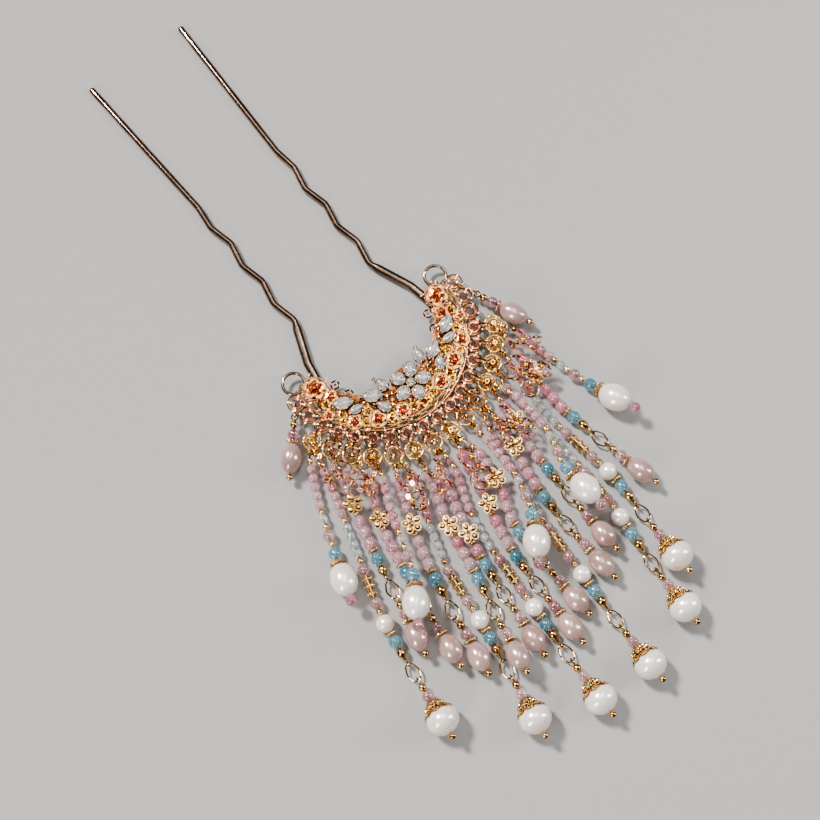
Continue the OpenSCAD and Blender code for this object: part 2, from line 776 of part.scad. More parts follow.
// Pieces of a string, each drawn from the start of its stretch upward.
module bead(len, d, hole = bore_r) {
  translate([0, 0, len / 2])
    turned(hole)
      circle(d / 2, $fn = 40);
}

module crystal(len = crystal_len) {
  h = len - 2 * INSET;
  translate([0, 0, INSET])
    turned(bore_r, 8)
      polygon([
        [0, 0], [crystal_d * 0.3, 0], [crystal_d / 2, h * 0.4],
        [crystal_d / 2, h * 0.6], [crystal_d * 0.3, h], [0, h]
      ]);
}

module barrel() {
  h = barrel_len - 2 * INSET;
  translate([0, 0, INSET])
    turned(bore_r) {
      square([barrel_d / 2 - 0.3, h]);
      for (k = [1, 3, 5]) {
        translate([barrel_d / 2 - 0.45, h * k / 6])
          circle(0.45, $fn = 20);
      }
    }
}

module charm() {
  mid = (charm_ball + 0.1) / 2;
  up = rose_d / 2 + 0.2;
  translate([0, 0, mid])
    turned(bore_r)
      circle(charm_ball / 2, $fn = 40);
  translate([-up - charm_t, 0, mid])
    rotate([0, 90, 0])
      linear_extrude(charm_t)
        difference() {
          union() {
            circle(0.9, $fn = 24);
            for (j = [0 : 4]) {
              rotate(j * 72)
                translate([charm_r, 0])
                  circle(0.92, $fn = 24);
            }
          }
          for (j = [0 : 4]) {
            rotate(j * 72)
              translate([charm_r + 0.05, 0])
                circle(0.42, $fn = 20);
          }
        }
  translate([-up - charm_t / 2, 0, mid])
    rotate([0, 90, 0])
      cylinder(r = 0.5, h = up + charm_t / 2 - 0.65, $fn = 24);
}

module clamp() {
  neck = clamp_len - loop_r;
  turned(0)
    difference() {
      union() {
        translate([0, 1.3])
          circle(clamp_d / 2, $fn = 40);
        translate([0, 1.5])
          square([0.3, neck - 1.45]);
      }
      square([bore_r, 1.5]);
      translate([-5, -2])
        square([5 + bore_r, 2.1]);
    }
  translate([0, 0, clamp_len])
    rotate([90, 0, 0])
      loop(loop_r, link_wire);
}

// Long link with round ends, from the middle of one loop to the middle of the next.
module link(len, half, flat) {
  a = flat ? 90 : 0;
  r = half;
  rotate([0, 0, a])
    rotate([90, 0, 0])
      translate([0, 0, 0]) {
        for (e = [0, 1]) {
          translate([0, e == 0 ? r : len - r, 0])
            rotate([0, 0, e == 0 ? 180 : 0])
              rotate_extrude(angle = 180, $fn = 48)
                translate([r, 0])
                  circle(link_wire, $fn = 20);
        }
        for (s = [-1, 1]) {
          translate([s * r, r, 0])
            rotate([-90, 0, 0])
              cylinder(r = link_wire, h = len - 2 * r, $fn = 20);
        }
      }
}

// Oval pearl with a hole, from a half outline.
module pearl(len, d, hole) {
  h = len / 2 - INSET;
  translate([0, 0, len / 2])
    turned(hole)
      polygon([for (i = [0 : 12]) [d / 2 * sin(i * 15), h * cos(i * 15)]]);
}

module turned_pearl(kind) {
  hole = stem_r + 0.17;
  translate([0, 0, pearl_start(kind)]) {
    pearl(pearl_len(kind), pearl_d(kind), hole);
  }
}

// Head pin: loop, gold bead, collar or cup, stem and end ball in one piece.
module head_pin(kind, flat) {
  start = pearl_start(kind);
  stop = start + pearl_len(kind);
  over = crystal_len + eye_len;
  rotate([0, 0, flat ? 90 : 0])
    rotate([90, 0, 0])
      loop(loop_r, link_wire);
  turned(0)
    difference() {
      union() {
        translate([0, loop_r])
          square([stem_r, stop + end_ball / 2 - loop_r]);
        translate([0, eye_len - cap_bead / 2 + 0.02])
          circle(cap_bead / 2, $fn = 40);
        translate([0, stop + end_ball / 2 - 0.1])
          circle(end_ball / 2, $fn = 40);
        if (kind == "round")
          polygon([
            [0, over + 0.1], [1.3, over + 0.1], [1.3, over + 0.45], [1, over + 0.6],
            [2.3, over + 1.2], [2.9, over + 1.9], [round_d * 0.44, over + 2.8], [0, over + 2.8]
          ]);
        else
          translate([0, over + 0.1])
            square([disc_d / 2, disc_len - 0.2]);
      }
      if (kind == "round")
        difference() {
          translate([0, start + round_len / 2])
            polygon([for (i = [0 : 24]) [
              (round_d / 2 + 0.12) * sin(i * 7.5),
              (round_len / 2 + 0.1) * cos(i * 7.5)
            ]]);
          translate([-1, 0])
            square([1 + stem_r, 40]);
        }
    }
}

module drop(kind, flat = false) {
  head_pin(kind, flat);
  translate([0, 0, eye_len])
    crystal();
  turned_pearl(kind);
}

module oval_drop() {
  stop = pearl_start("oval") + oval_len;
  translate([0, 0, INSET])
    turned(bore_r)
      polygon([[0, 0], [0.9, 0], [1.2, 0.3], [2, 0.55], [2, 0.84], [0, 0.84]]);
  translate([0, 0, 1])
    pearl(oval_len, oval_d, bore_r);
  translate([0, 0, stop + INSET])
    turned(0, 8)
      difference() {
        polygon([
          [0, 0], [crystal_d * 0.25, 0], [crystal_d / 2, crystal_d * 0.32],
          [crystal_d / 2, crystal_d * 0.55], [crystal_d * 0.25, crystal_d * 0.85], [0, crystal_d * 0.85]
        ]);
        translate([-1, -1])
          square([1 + bore_r, 2.3]);
      }
}

module strand(s) {
  for (q = placed(s)) {
    along(q[1], q[2]) {
      if (q[0] == "crystal")
        crystal();
      if (q[0] == "barrel")
        barrel();
      if (q[0] == "charm")
        charm();
      if (q[0] == "small")
        bead(small_len, small_d);
      if (q[0] == "blue")
        bead(blue_len, blue_d - 2 * INSET + 0.1);
      if (q[0] == "clamp")
        clamp();
      if (q[0] == "link")
        link(link_len, link_half, true);
      if (q[0] == "mauve" || q[0] == "round")
        drop(q[0]);
      if (q[0] == "oval")
        oval_drop();
    }
  }
}

// Thread of a string: a tube of rings that follows the pieces, thick along tight beads.
function ring_of(p, d, r) =
  let (w = unit(cross([0, 0, 1], d)), v = cross(d, w))
  [for (j = [0 : 7]) p + r * (cos(j * 45 + 22.5) * w + sin(j * 45 + 22.5) * v)];
function thread_rings(q) =
  let (
    n = len(q) - 1,
    dirs = [for (i = q) unit(i[2] - i[1])],
    tail = q[n][0] == "oval" ? pearl_start("oval") + oval_len + 1.1 : 1.3
  )
  concat(
    [ring_of(q[0][1], dirs[0], tube_r(q[0][0]))],
    [for (i = [1 : n]) let (
        p = q[i][1],
        a = tube_r(q[i - 1][0]),
        b = tube_r(q[i][0]),
        d = unit(dirs[i - 1] + dirs[i])
      )
      each a == b ? [ring_of(p, d, a)]
        : a > b ? [ring_of(p - dirs[i - 1] * TAPER, dirs[i - 1], a), ring_of(p - dirs[i - 1] * 0.05, dirs[i - 1], b)]
        : [ring_of(p + dirs[i] * 0.05, dirs[i], a), ring_of(p + dirs[i] * TAPER, dirs[i], b)]],
    [ring_of(q[n][1] + dirs[n] * tail, dirs[n], tube_r(q[n][0]))]
  );

module thread(s) {
  color("#e8b4bd")
    tube(thread_rings([for (i = placed(s)) if (on_thread(i)) i]), 8);
}

// Horn drop: an upright link through the first or last border ring, then a lying head pin.
module horn_drop(i, way) {
  c = ring_at(i);
  aim = c + way;
  u = unit(aim - c);
  len = norm(aim - c) - pearl_start("horn") - horn_len / 2;
  p = [c.x, c.y, hang_z];
  q = [c.x + u.x * len, c.y + u.y * len, hang_z];
  color("#d8b078") {
    along(p, q)
      link(len, 1.1, false);
    along(q, q + (q - p))
      drop("horn", true);
  }
}

translate(HOME) {
  pin();
  crown();
  stones();
  jump_rings();
  cages();
  horn_drop(0, [-9.11, -9.94]);  // drop_left
  horn_drop(18, [6.09, -15.18]);  // drop_right
  for (s = STRINGS) {
    color("#e6c7c0") strand(s);
    thread(s);
  }
}
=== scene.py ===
"""Looks of a two-pronged hairpin with a crescent head and a fringe of bead strings.

Every shape is drawn in millimetres from the middle between the two eye rings, and is
moved by HOME and turned into metres when its mesh is made.
"""

import logging
import math
from dataclasses import dataclass, field
from enum import Enum
from typing import Any, Sequence

import bmesh
import bpy
from bpy.types import ID, Material, Mesh, Node, NodeSocket, NodeTree, Object
from mathutils import Matrix, Vector


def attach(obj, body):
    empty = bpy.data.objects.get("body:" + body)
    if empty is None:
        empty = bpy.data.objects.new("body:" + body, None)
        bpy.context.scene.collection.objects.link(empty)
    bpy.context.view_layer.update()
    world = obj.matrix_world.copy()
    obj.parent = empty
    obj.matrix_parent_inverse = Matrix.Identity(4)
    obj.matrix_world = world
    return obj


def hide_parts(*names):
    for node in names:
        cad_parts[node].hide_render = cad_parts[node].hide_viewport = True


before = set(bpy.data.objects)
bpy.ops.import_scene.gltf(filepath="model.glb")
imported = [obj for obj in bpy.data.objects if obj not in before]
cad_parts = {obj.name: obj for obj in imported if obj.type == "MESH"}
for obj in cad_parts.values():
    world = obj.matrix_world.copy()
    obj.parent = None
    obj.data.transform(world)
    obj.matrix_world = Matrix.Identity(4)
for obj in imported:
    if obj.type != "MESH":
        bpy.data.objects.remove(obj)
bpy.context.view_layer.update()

Pair = tuple[float, float]
Triple = tuple[float, float, float]
Path = Sequence[Vector]
Table = tuple[tuple[float, ...], ...]

MM = 0.001
# From the middle between the eye rings to the origin of the frame
HOME = Vector((4.3751, 6.66896, 0.0))
# Middle of the crescent's arcs
CENTRE = Vector((0.0, -3.9, 0.0))
# Middle of the flower of stones
FLOWER_AT = Vector((0.0, -17.9, 0.0))
# Room that a bead leaves at each end of its stretch of thread
INSET = 0.12
# Points on each stretch of a string's way
STEPS = 6
# Degrees between two faces past which their edge is kept sharp
SHARP = 38
# Radius or gap that counts as none
TINY = 1e-6
# Direction that no path sets out in
ASKEW = Vector((0.31, 0.12, 0.94))
log = logging.getLogger("hairpin")


class Fall(Enum):
    """The three kinds of bead string."""

    UPPER = "o"
    LONG = "r"
    MIDDLE = "m"


class Cut(Enum):
    """Outlines of the clear stones."""

    ROUND = 0
    MARQUISE = 1
    PEAR = 2


# Nodes and objects


def socket(node: Node, key: str | int) -> NodeSocket:
    """Finds an input of a node.

    Args:
        node: Node that has it.
        key: Its number, or its name among those in use.

    Returns:
        The input.
    """
    if isinstance(key, int):
        return node.inputs[key]
    return next(s for s in node.inputs if s.name == key and s.enabled)


def socket_out(node: Node) -> NodeSocket:
    """First output of a node that is in use."""
    return next(s for s in node.outputs if s.enabled)


def fill(tree: NodeTree, node: Node, inputs: dict[str | int, Any]) -> None:
    """Links or sets inputs of a node.

    Args:
        tree: Tree of the node.
        node: Node to fill.
        inputs: Name or number of each input to an output socket or to a plain value.
    """
    for key, value in inputs.items():
        if isinstance(value, NodeSocket):
            tree.links.new(value, socket(node, key))
        else:
            socket(node, key).default_value = value


def add_node(
    tree: NodeTree,
    kind: str,
    inputs: dict[str | int, Any] | None = None,
    **settings: Any,
) -> Node:
    """Adds a node to a tree.

    Args:
        tree: Tree that takes it.
        kind: Type of the node.
        inputs: Name or number of each input to an output socket or to a plain value.
        **settings: Properties of the node.

    Returns:
        The node.
    """
    made = tree.nodes.new(kind)
    for key, value in settings.items():
        setattr(made, key, value)
    fill(tree, made, inputs or {})
    return made


def linked(name: str, data: ID) -> Object:
    """Makes an object in the scene.

    Args:
        name: Its name.
        data: Its mesh, curve, light or camera.

    Returns:
        The object.
    """
    made = bpy.data.objects.new(name, data)
    bpy.context.scene.collection.objects.link(made)
    return made


def aimed(name: str, data: ID, place: Vector, ahead: Vector) -> Object:
    """Makes a light or a camera that looks one way.

    Args:
        name: Its name.
        data: The light or the camera.
        place: Where it stands, in metres.
        ahead: Where it looks.

    Returns:
        The object.
    """
    made = linked(name, data)
    made.location = place
    made.rotation_mode = "QUATERNION"
    made.rotation_quaternion = ahead.to_track_quat("-Z", "Y")
    return made


# Finishes


@dataclass(frozen=True)
class Finish:
    """A surface whose colour and gloss are made by nodes on the piece's own coordinates."""

    name: str
    deep: Triple
    bright: Triple
    gloss: float = 0.2
    grain: float = 450.0
    relief: float = 0.05

    def material(self) -> Material:
        """Makes the material once and hands it out again after that.

        Returns:
            The material.
        """
        name = f"look_{self.name}"
        found = bpy.data.materials.get(name)
        if found:
            return found
        made = bpy.data.materials.new(name)
        made.use_nodes = True
        made.diffuse_color = (*self.bright, 1.0)
        tree = made.node_tree
        where = add_node(tree, "ShaderNodeTexCoord").outputs["Object"]
        cloud, fine = (
            add_node(tree, "ShaderNodeTexNoise", {"Vector": where, "Scale": scale, "Detail": detail})
            for scale, detail in ((self.grain, 3.0), (self.grain * 9.0, 2.0))
        )
        surface = {**self.colour(tree, cloud.outputs["Fac"]), **self.depth(tree, fine.outputs["Fac"])}
        fill(tree, tree.nodes["Principled BSDF"], {**surface, **self.body()})
        return made

    def colour(self, tree: NodeTree, cloud: NodeSocket) -> dict[str, Any]:
        """Runs the colour from deep to bright over the cloud and over each bead's tone.

        Args:
            tree: Tree of the material.
            cloud: Slow noise.

        Returns:
            What the shader's colour is linked to.
        """
        tone = add_node(tree, "ShaderNodeAttribute", attribute_name="tone").outputs["Fac"]
        both = add_node(tree, "ShaderNodeMath", {0: tone, 1: 0.55, 2: cloud}, operation="MULTIPLY_ADD")
        ramp = add_node(tree, "ShaderNodeValToRGB", {"Fac": both.outputs[0]})
        stops = ((0.38, self.deep), (0.86, self.bright))
        for stop, (position, shade) in zip(ramp.color_ramp.elements, stops):
            stop.position = position
            stop.color = (*shade, 1.0)
        return {"Base Color": ramp.outputs["Color"]}

    def depth(self, tree: NodeTree, fine: NodeSocket) -> dict[str, Any]:
        """Roughens the surface a little with a fine noise.

        Args:
            tree: Tree of the material.
            fine: Fine noise.

        Returns:
            What the shader's roughness and normal are linked to.
        """
        gloss = {"Value": fine, "To Min": self.gloss * 0.7, "To Max": min(1.0, self.gloss * 1.4)}
        dents = {"Height": fine, "Strength": self.relief, "Distance": 0.0002}
        return {
            "Roughness": add_node(tree, "ShaderNodeMapRange", gloss).outputs["Result"],
            "Normal": add_node(tree, "ShaderNodeBump", dents).outputs["Normal"],
        }

    def body(self) -> dict[str, Any]:
        """Inputs of the shader that are the same all over."""
        return {}


@dataclass(frozen=True)
class Plated(Finish):
    """Plated or polished metal."""

    def body(self) -> dict[str, Any]:
        """Inputs of the shader that are the same all over."""
        return {"Metallic": 1.0}


@dataclass(frozen=True)
class CutGlass(Finish):
    """Cut glass or stone, from milky to clear."""

    gloss: float = 0.03
    grain: float = 300.0
    relief: float = 0.02
    clear: float = 0.82
    index: float = 1.54
    milk: float = 0.0

    def body(self) -> dict[str, Any]:
        """Says how much light passes and how much is scattered inside.

        Returns:
            Inputs of the shader and their values.
        """
        return {
            "Transmission Weight": self.clear,
            "IOR": self.index,
            "Subsurface Weight": self.milk,
            "Subsurface Scale": 0.0012,
            "Coat Weight": 0.5,
            "Coat Roughness": 0.03,
        }


@dataclass(frozen=True)
class Nacre(Finish):
    """Pearl lustre with a warm edge."""

    gloss: float = 0.22
    grain: float = 90.0
    relief: float = 0.012
    edge: Triple = (1.0, 0.62, 0.50)
    shade: Triple = (0.46, 0.26, 0.16)
    lustre: float = 0.5

    def body(self) -> dict[str, Any]:
        """Describes a clear glossy coat over a body that shines warmer toward its outline.

        Returns:
            Inputs of the shader and their values.
        """
        return {
            "Metallic": self.lustre,
            "Specular Tint": (*self.shade, 1.0),
            "Coat Weight": 0.9,
            "Coat Roughness": 0.11,
            "Coat IOR": 1.6,
            "Sheen Weight": 0.3,
            "Sheen Roughness": 0.35,
            "Sheen Tint": (*self.edge, 1.0),
            "Subsurface Weight": 0.12,
            "Subsurface Scale": 0.001,
        }


BRONZE = Plated("dark_rose_bronze", (0.20, 0.125, 0.09), (0.52, 0.36, 0.26), 0.14, 300.0, 0.12)
# Darkest rose gold, on the pierced plate that lies under the ornaments
DEEP_ROSE_GOLD = Plated("aged_rose_gold", (0.12, 0.025, 0.008), (0.44, 0.14, 0.045), 0.22, 500.0, 0.12)
ROSE_GOLD = Plated("rose_gold", (0.38, 0.12, 0.05), (0.90, 0.44, 0.24), 0.1, 420.0, 0.06)
COPPER = Plated("copper_rose", (0.60, 0.18, 0.04), (0.95, 0.42, 0.14), 0.15, 600.0, 0.08)
CHAMPAGNE = Plated("champagne_gold", (0.46, 0.25, 0.07), (0.95, 0.66, 0.29), 0.09, 500.0, 0.05)
YELLOW_GOLD = Plated("yellow_gold", (0.60, 0.25, 0.01), (0.95, 0.56, 0.07), 0.1, 450.0, 0.05)
WHITE_FOIL = Finish("white_foil", (0.96, 0.91, 0.89), (1.0, 0.98, 0.97), 0.25, 700.0, 0.02)
# Dark wedges behind the stones: painted dark facet reflection
PAINTED_DARK_REFLECTION = Plated("dark_foil", (0.42, 0.36, 0.35), (0.72, 0.66, 0.64), 0.08, 700.0, 0.02)
ROSE_GLASS = CutGlass(
    "milky_rose_glass", (0.96, 0.31, 0.43), (1.0, 0.67, 0.75), grain=260.0, clear=0.76, milk=0.05
)
PALE_GLASS = CutGlass("pale_blue_glass", (0.56, 0.80, 0.94), (0.90, 0.98, 1.0), milk=0.03)
AQUA_GLASS = CutGlass("aqua_glass", (0.04, 0.30, 0.50), (0.26, 0.68, 0.90), milk=0.03)
LILAC_CRYSTAL = CutGlass(
    "lilac_crystal", (0.62, 0.22, 0.30), (1.0, 0.68, 0.72), 0.02, 500.0, clear=0.85, index=1.65
)
CLEAR_STONE = CutGlass(
    "clear_cut_stone", (0.97, 0.93, 0.92), (1.0, 1.0, 1.0), 0.01, 700.0, 0.0, clear=0.9, index=1.8
)
WHITE_NACRE = Nacre(
    "white_nacre", (0.90, 0.81, 0.73), (1.0, 0.98, 0.95), 0.24, edge=(1.0, 0.70, 0.52), lustre=0.32
)
MAUVE_NACRE = Nacre("mauve_nacre", (0.37, 0.22, 0.20), (0.74, 0.52, 0.49))


# Places


def shift(x: float, y: float, z: float = 0.0) -> Matrix:
    """Moves by x, y and z."""
    return Matrix.Translation((x, y, z))


def turn(degrees: float, axis: str = "Z") -> Matrix:
    """Turns about an axis."""
    return Matrix.Rotation(math.radians(degrees), 4, axis)


def grow(size: float) -> Matrix:
    """Grows to a size."""
    return Matrix.Scale(size, 4)


def above(height: float) -> Vector:
    """Vector straight up."""
    return Vector((0, 0, height))


def over(point: Vector, height: float = 0.0) -> Matrix:
    """Place above a point."""
    return Matrix.Translation(point + above(height))


def unit(v: Vector) -> Vector:
    """Vector of length one."""
    return v / v.length


def polar(radius: float, degrees: float) -> Vector:
    """Point at a radius and an angle about the crescent's middle."""
    a = math.radians(degrees)
    return CENTRE + radius * Vector((math.cos(a), math.sin(a), 0.0))


def ring_points(radius: float, height: float, sides: int, odd: bool = False) -> list[Vector]:
    """Points of a level ring, turned by half a step when odd."""
    turns = [(j + odd / 2) * (math.tau / sides) for j in range(sides)]
    return [Vector((radius * math.cos(t), radius * math.sin(t), height)) for t in turns]


def on_line(p: Vector, q: Vector) -> Matrix:
    """Finds the place whose height line runs from one point to another, with local X downward.

    Args:
        p: Where the line starts.
        q: Where it runs to.

    Returns:
        The place.
    """
    d = q - p
    around, down = math.atan2(d.y, d.x), math.acos(d.z / d.length)
    return Matrix.Translation(p) @ turn(math.degrees(around)) @ turn(math.degrees(down), "Y")


def metres(point: Vector, home: Vector = HOME) -> Vector:
    """Point in metres from the frame's origin."""
    return (point + home) * MM


# Shapes


@dataclass
class Shape:
    """Points in millimetres, the faces between them and which of those are smooth."""

    points: list[Vector] = field(default_factory=list)
    faces: list[tuple[int, ...]] = field(default_factory=list)
    soft: list[bool] = field(default_factory=list)

    def add(self, other: "Shape", place: Matrix | None = None) -> "Shape":
        """Adds another shape.

        Args:
            other: Shape to add.
            place: Where it goes, or none to leave it where it is.

        Returns:
            This shape.
        """
        start = len(self.points)
        self.points += [place @ p for p in other.points] if place else list(other.points)
        self.faces += [tuple(i + start for i in f) for f in other.faces]
        self.soft += other.soft
        return self

    def face(self, *corners: int, soft: bool = False) -> None:
        """Adds one face."""
        self.faces.append(corners)
        self.soft.append(soft)

    def mesh(self, name: str, finish: Finish, home: Vector = HOME) -> Mesh:
        """Makes the mesh, in metres.

        Args:
            name: Name of the mesh.
            finish: Its finish.
            home: Shift of every point.

        Returns:
            The mesh, its faces outward and its sharp edges kept.
        """
        data = bpy.data.meshes.new(name)
        data.from_pydata([metres(p, home) for p in self.points], [], self.faces)
        data.polygons.foreach_set("use_smooth", self.soft)
        data.materials.append(finish.material())
        work = bmesh.new()
        work.from_mesh(data)
        bmesh.ops.recalc_face_normals(work, faces=work.faces)
        work.to_mesh(data)
        work.free()
        data.set_sharp_from_angle(angle=math.radians(SHARP))
        return data


def lathe(outline: Sequence[Pair], sides: int = 24) -> Shape:
    """Turns a half outline about the height line.

    Args:
        outline: Radius and height from the lower pole to the upper one.
        sides: Sides around.

    Returns:
        The closed solid.
    """
    made = Shape()
    rows: list[list[int]] = []
    for r, z in outline:
        if r < TINY:
            made.points.append(above(z))
            rows.append([len(made.points) - 1] * sides)
            continue
        rows.append([len(made.points) + j for j in range(sides)])
        for j in range(sides):
            a = math.tau * j / sides
            made.points.append(Vector((r * math.cos(a), r * math.sin(a), z)))
    for low, high in zip(rows, rows[1:]):
        for j in range(sides):
            k = (j + 1) % sides
            ring = list(dict.fromkeys((low[j], low[k], high[k], high[j])))
            if len(ring) > 2:
                made.face(*ring, soft=True)
    if outline[0][0] > TINY:
        made.face(*reversed(rows[0]))
    if outline[-1][0] > TINY:
        made.face(*rows[-1])
    return made


def ball(radius: float, sides: int = 12, rows: int = 8, squeeze: float = 1.0) -> Shape:
    """Round ball about the origin, squeezed along its height."""
    turns = [math.pi * i / rows for i in range(rows + 1)]
    return lathe([(radius * math.sin(t), -radius * squeeze * math.cos(t)) for t in turns], sides)


def facets(rings: Sequence[tuple[Path, bool]]) -> Shape:
    """Flat facets between rings of equal count.

    Args:
        rings: Points of each ring from below, and whether it is turned by half a step.

    Returns:
        The closed cut solid.
    """
    made = Shape()
    n = len(rings[0][0])
    for points, _ in rings:
        made.points += [p.copy() for p in points]
    for i in range(len(rings) - 1):
        odd, next_odd = rings[i][1], rings[i + 1][1]
        for j in range(n):
            k = (j + 1) % n
            a, b, c, d = i * n + j, i * n + k, (i + 1) * n + k, (i + 1) * n + j
            if odd == next_odd:
                made.face(a, b, c, d)
            elif next_odd:
                made.face(a, b, d)
                made.face(b, c, d)
            else:
                made.face(a, c, d)
                made.face(a, b, c)
    made.face(*reversed(range(n)))
    made.face(*range((len(rings) - 1) * n, len(rings) * n))
    return made


def cut_bead(wide: float, long: float, sides: int = 9, rows: int = 6) -> Shape:
    """Faceted bead whose hole runs along its height, about the origin.

    Args:
        wide: Its diameter.
        long: Its length.
        sides: Facets around.
        rows: Facets along.

    Returns:
        The bead.
    """
    steep, pole = 68.0, 0.93
    rings = []
    for i in range(rows):
        t = math.radians(-steep + 2 * steep * i / (rows - 1))
        odd = i % 2 == 1
        ring = ring_points(wide / 2 * math.cos(t), long / 2 * math.sin(t) / pole, sides, odd)
        rings.append((ring, odd))
    return facets(rings)


def sweep(
    path: Path,
    wide: float | Sequence[float],
    tall: float | Sequence[float] | None = None,
    sides: int = 12,
    closed: bool = False,
    level: bool = False,
) -> Shape:
    """Wire along a path.

    Args:
        path: Points of its middle line.
        wide: Half width, or one for each point.
        tall: Half height, or the same as the half width.
        sides: Sides around.
        closed: Whether the path is a loop.
        level: Whether the section stays upright, for paths in a level plane.

    Returns:
        The wire, closed at its ends.
    """
    made = Shape()
    n = len(path)
    widths, heights = (
        [half] * n if isinstance(half, (int, float)) else list(half)
        for half in (wide, wide if tall is None else tall)
    )
    side = above(0)
    for i, p in enumerate(path):
        before = path[i - 1] if closed or i else p
        after = path[(i + 1) % n] if closed or i < n - 1 else p
        along = (after - before).normalized()
        if level:
            side = along.cross(above(1)).normalized()
        elif i == 0:
            side = along.cross(ASKEW).normalized()
        else:
            side = (side - along * side.dot(along)).normalized()
        up = side.cross(along)
        for j in range(sides):
            a = math.tau * j / sides
            made.points.append(p + side * math.cos(a) * widths[i] + up * math.sin(a) * heights[i])
    for i in range(n if closed else n - 1):
        low, high = i * sides, ((i + 1) % n) * sides
        for j in range(sides):
            k = (j + 1) % sides
            made.face(low + j, high + j, high + k, low + k, soft=True)
    if not closed:
        made.face(*range(sides))
        made.face(*reversed(range((n - 1) * sides, n * sides)))
    return made


def loop(
    radius: float, wire: float, sides: int = 28, round_: int = 10, tall: float | None = None
) -> Shape:
    """Level wire ring about the origin."""
    return sweep(ring_points(radius, 0.0, sides), wire, tall, round_, closed=True, level=True)


def sheet(outlines: Sequence[Path], low: float, high: float, edge: float = 0.07) -> Shape:
    """Level metal sheet with holes.

    Args:
        outlines: Closed outlines, where one inside another is a hole.
        low: Height of the underside.
        high: Height of the top.
        edge: Rounding of the edges.

    Returns:
        The sheet.
    """
    plan = bpy.data.curves.new("plan", "CURVE")
    plan.dimensions = "2D"
    plan.fill_mode = "BOTH"
    plan.extrude = (high - low) / 2 - edge
    plan.bevel_depth = edge
    plan.bevel_resolution = 1
    plan.offset = -edge
    for outline in outlines:
        line = plan.splines.new("POLY")
        line.points.add(len(outline) - 1)
        for point, p in zip(line.points, outline):
            point.co = (p.x, p.y, 0.0, 1.0)
        line.use_cyclic_u = True
    data = settled(linked("plan", plan))
    made = Shape(
        [v.co + above((low + high) / 2) for v in data.vertices],
        [tuple(f.vertices) for f in data.polygons],
        [False] * len(data.polygons),
    )
    bpy.data.meshes.remove(data)
    bpy.data.curves.remove(plan)
    return made


# Repeats


def settled(holder: Object) -> Mesh:
    """Turns an object with its modifiers into a plain mesh and removes the object.

    Args:
        holder: Object that is linked to the scene.

    Returns:
        The plain mesh.
    """
    bpy.context.view_layer.update()
    ready = bpy.context.evaluated_depsgraph_get()
    data = bpy.data.meshes.new_from_object(
        holder.evaluated_get(ready), preserve_all_data_layers=True, depsgraph=ready
    )
    holder.modifiers.clear()
    bpy.data.objects.remove(holder)
    return data


def pattern(name: str, shape: Shape, finish: Finish) -> Object:
    """Makes the object that a tree repeats."""
    return linked(name, shape.mesh(name, finish, above(0)))


def edges_along(name: str, paths: Sequence[Path]) -> Mesh:
    """Makes a carrier of edges along paths.

    Args:
        name: Name of the mesh.
        paths: Points of each path, where one whose ends meet is a loop.

    Returns:
        The carrier.
    """
    points: list[Vector] = []
    edges: list[tuple[int, int]] = []
    for path in paths:
        whole = (path[0] - path[-1]).length < TINY
        start, n = len(points), len(path) - whole
        points += [metres(p) for p in path[:n]]
        edges += [(start + i, start + i + 1) for i in range(n - 1)]
        if whole:
            edges.append((start + n - 1, start))
    carrier = bpy.data.meshes.new(name)
    carrier.from_pydata(points, edges, [])
    return carrier


class Bench:
    """A Geometry Nodes tree with named inputs, and the run of it over a carrier."""

    def __init__(self, name: str, inputs: dict[str, str]) -> None:
        """Starts the tree.

        Args:
            name: Name of the tree.
            inputs: Name and socket type of each input between the carrier and the finish.
        """
        self.tree = bpy.data.node_groups.new(name, "GeometryNodeTree")
        face = self.tree.interface
        inputs = {"Carrier": "Geometry", **inputs, "Finish": "Material"}
        for label, kind in inputs.items():
            face.new_socket(name=label, in_out="INPUT", socket_type=f"NodeSocket{kind}")
        face.new_socket(name="Result", in_out="OUTPUT", socket_type="NodeSocketGeometry")
        self.start = self.tree.nodes.new("NodeGroupInput")
        self.stop = self.tree.nodes.new("NodeGroupOutput")

    def given(self, name: str) -> NodeSocket:
        """Named input of the tree, to link from."""
        return self.start.outputs[name]

    def node(self, kind: str, inputs: dict[str | int, Any] | None = None, **settings: Any) -> Node:
        """Adds a node to the tree."""
        return add_node(self.tree, kind, inputs, **settings)

    def close(self, result: NodeSocket) -> None:
        """Realizes what was made, gives it its finish and ends the tree.

        Args:
            result: What was made.
        """
        real = self.node("GeometryNodeRealizeInstances", {"Geometry": result})
        dress = {"Geometry": real.outputs["Geometry"], "Material": self.given("Finish")}
        dressed = self.node("GeometryNodeSetMaterial", dress)
        fill(self.tree, self.stop, {"Result": dressed.outputs["Geometry"]})

    def run(self, carrier: Mesh, finish: Finish, values: dict[str, Any]) -> Mesh:
        """Runs the tree over a carrier.

        Args:
            carrier: Mesh that the tree starts from.
            finish: Finish of what comes out.
            values: Value of each named input.

        Returns:
            The plain mesh that comes out.
        """
        values = {**values, "Finish": finish.material()}
        holder = linked("carrier", carrier)
        work = holder.modifiers.new("rows", "NODES")
        work.node_group = self.tree
        for item in self.tree.interface.items_tree:
            if item.item_type == "SOCKET" and item.in_out == "INPUT" and item.name in values:
                work[item.identifier] = values[item.name]
        data = settled(holder)
        bpy.data.meshes.remove(carrier)
        return data


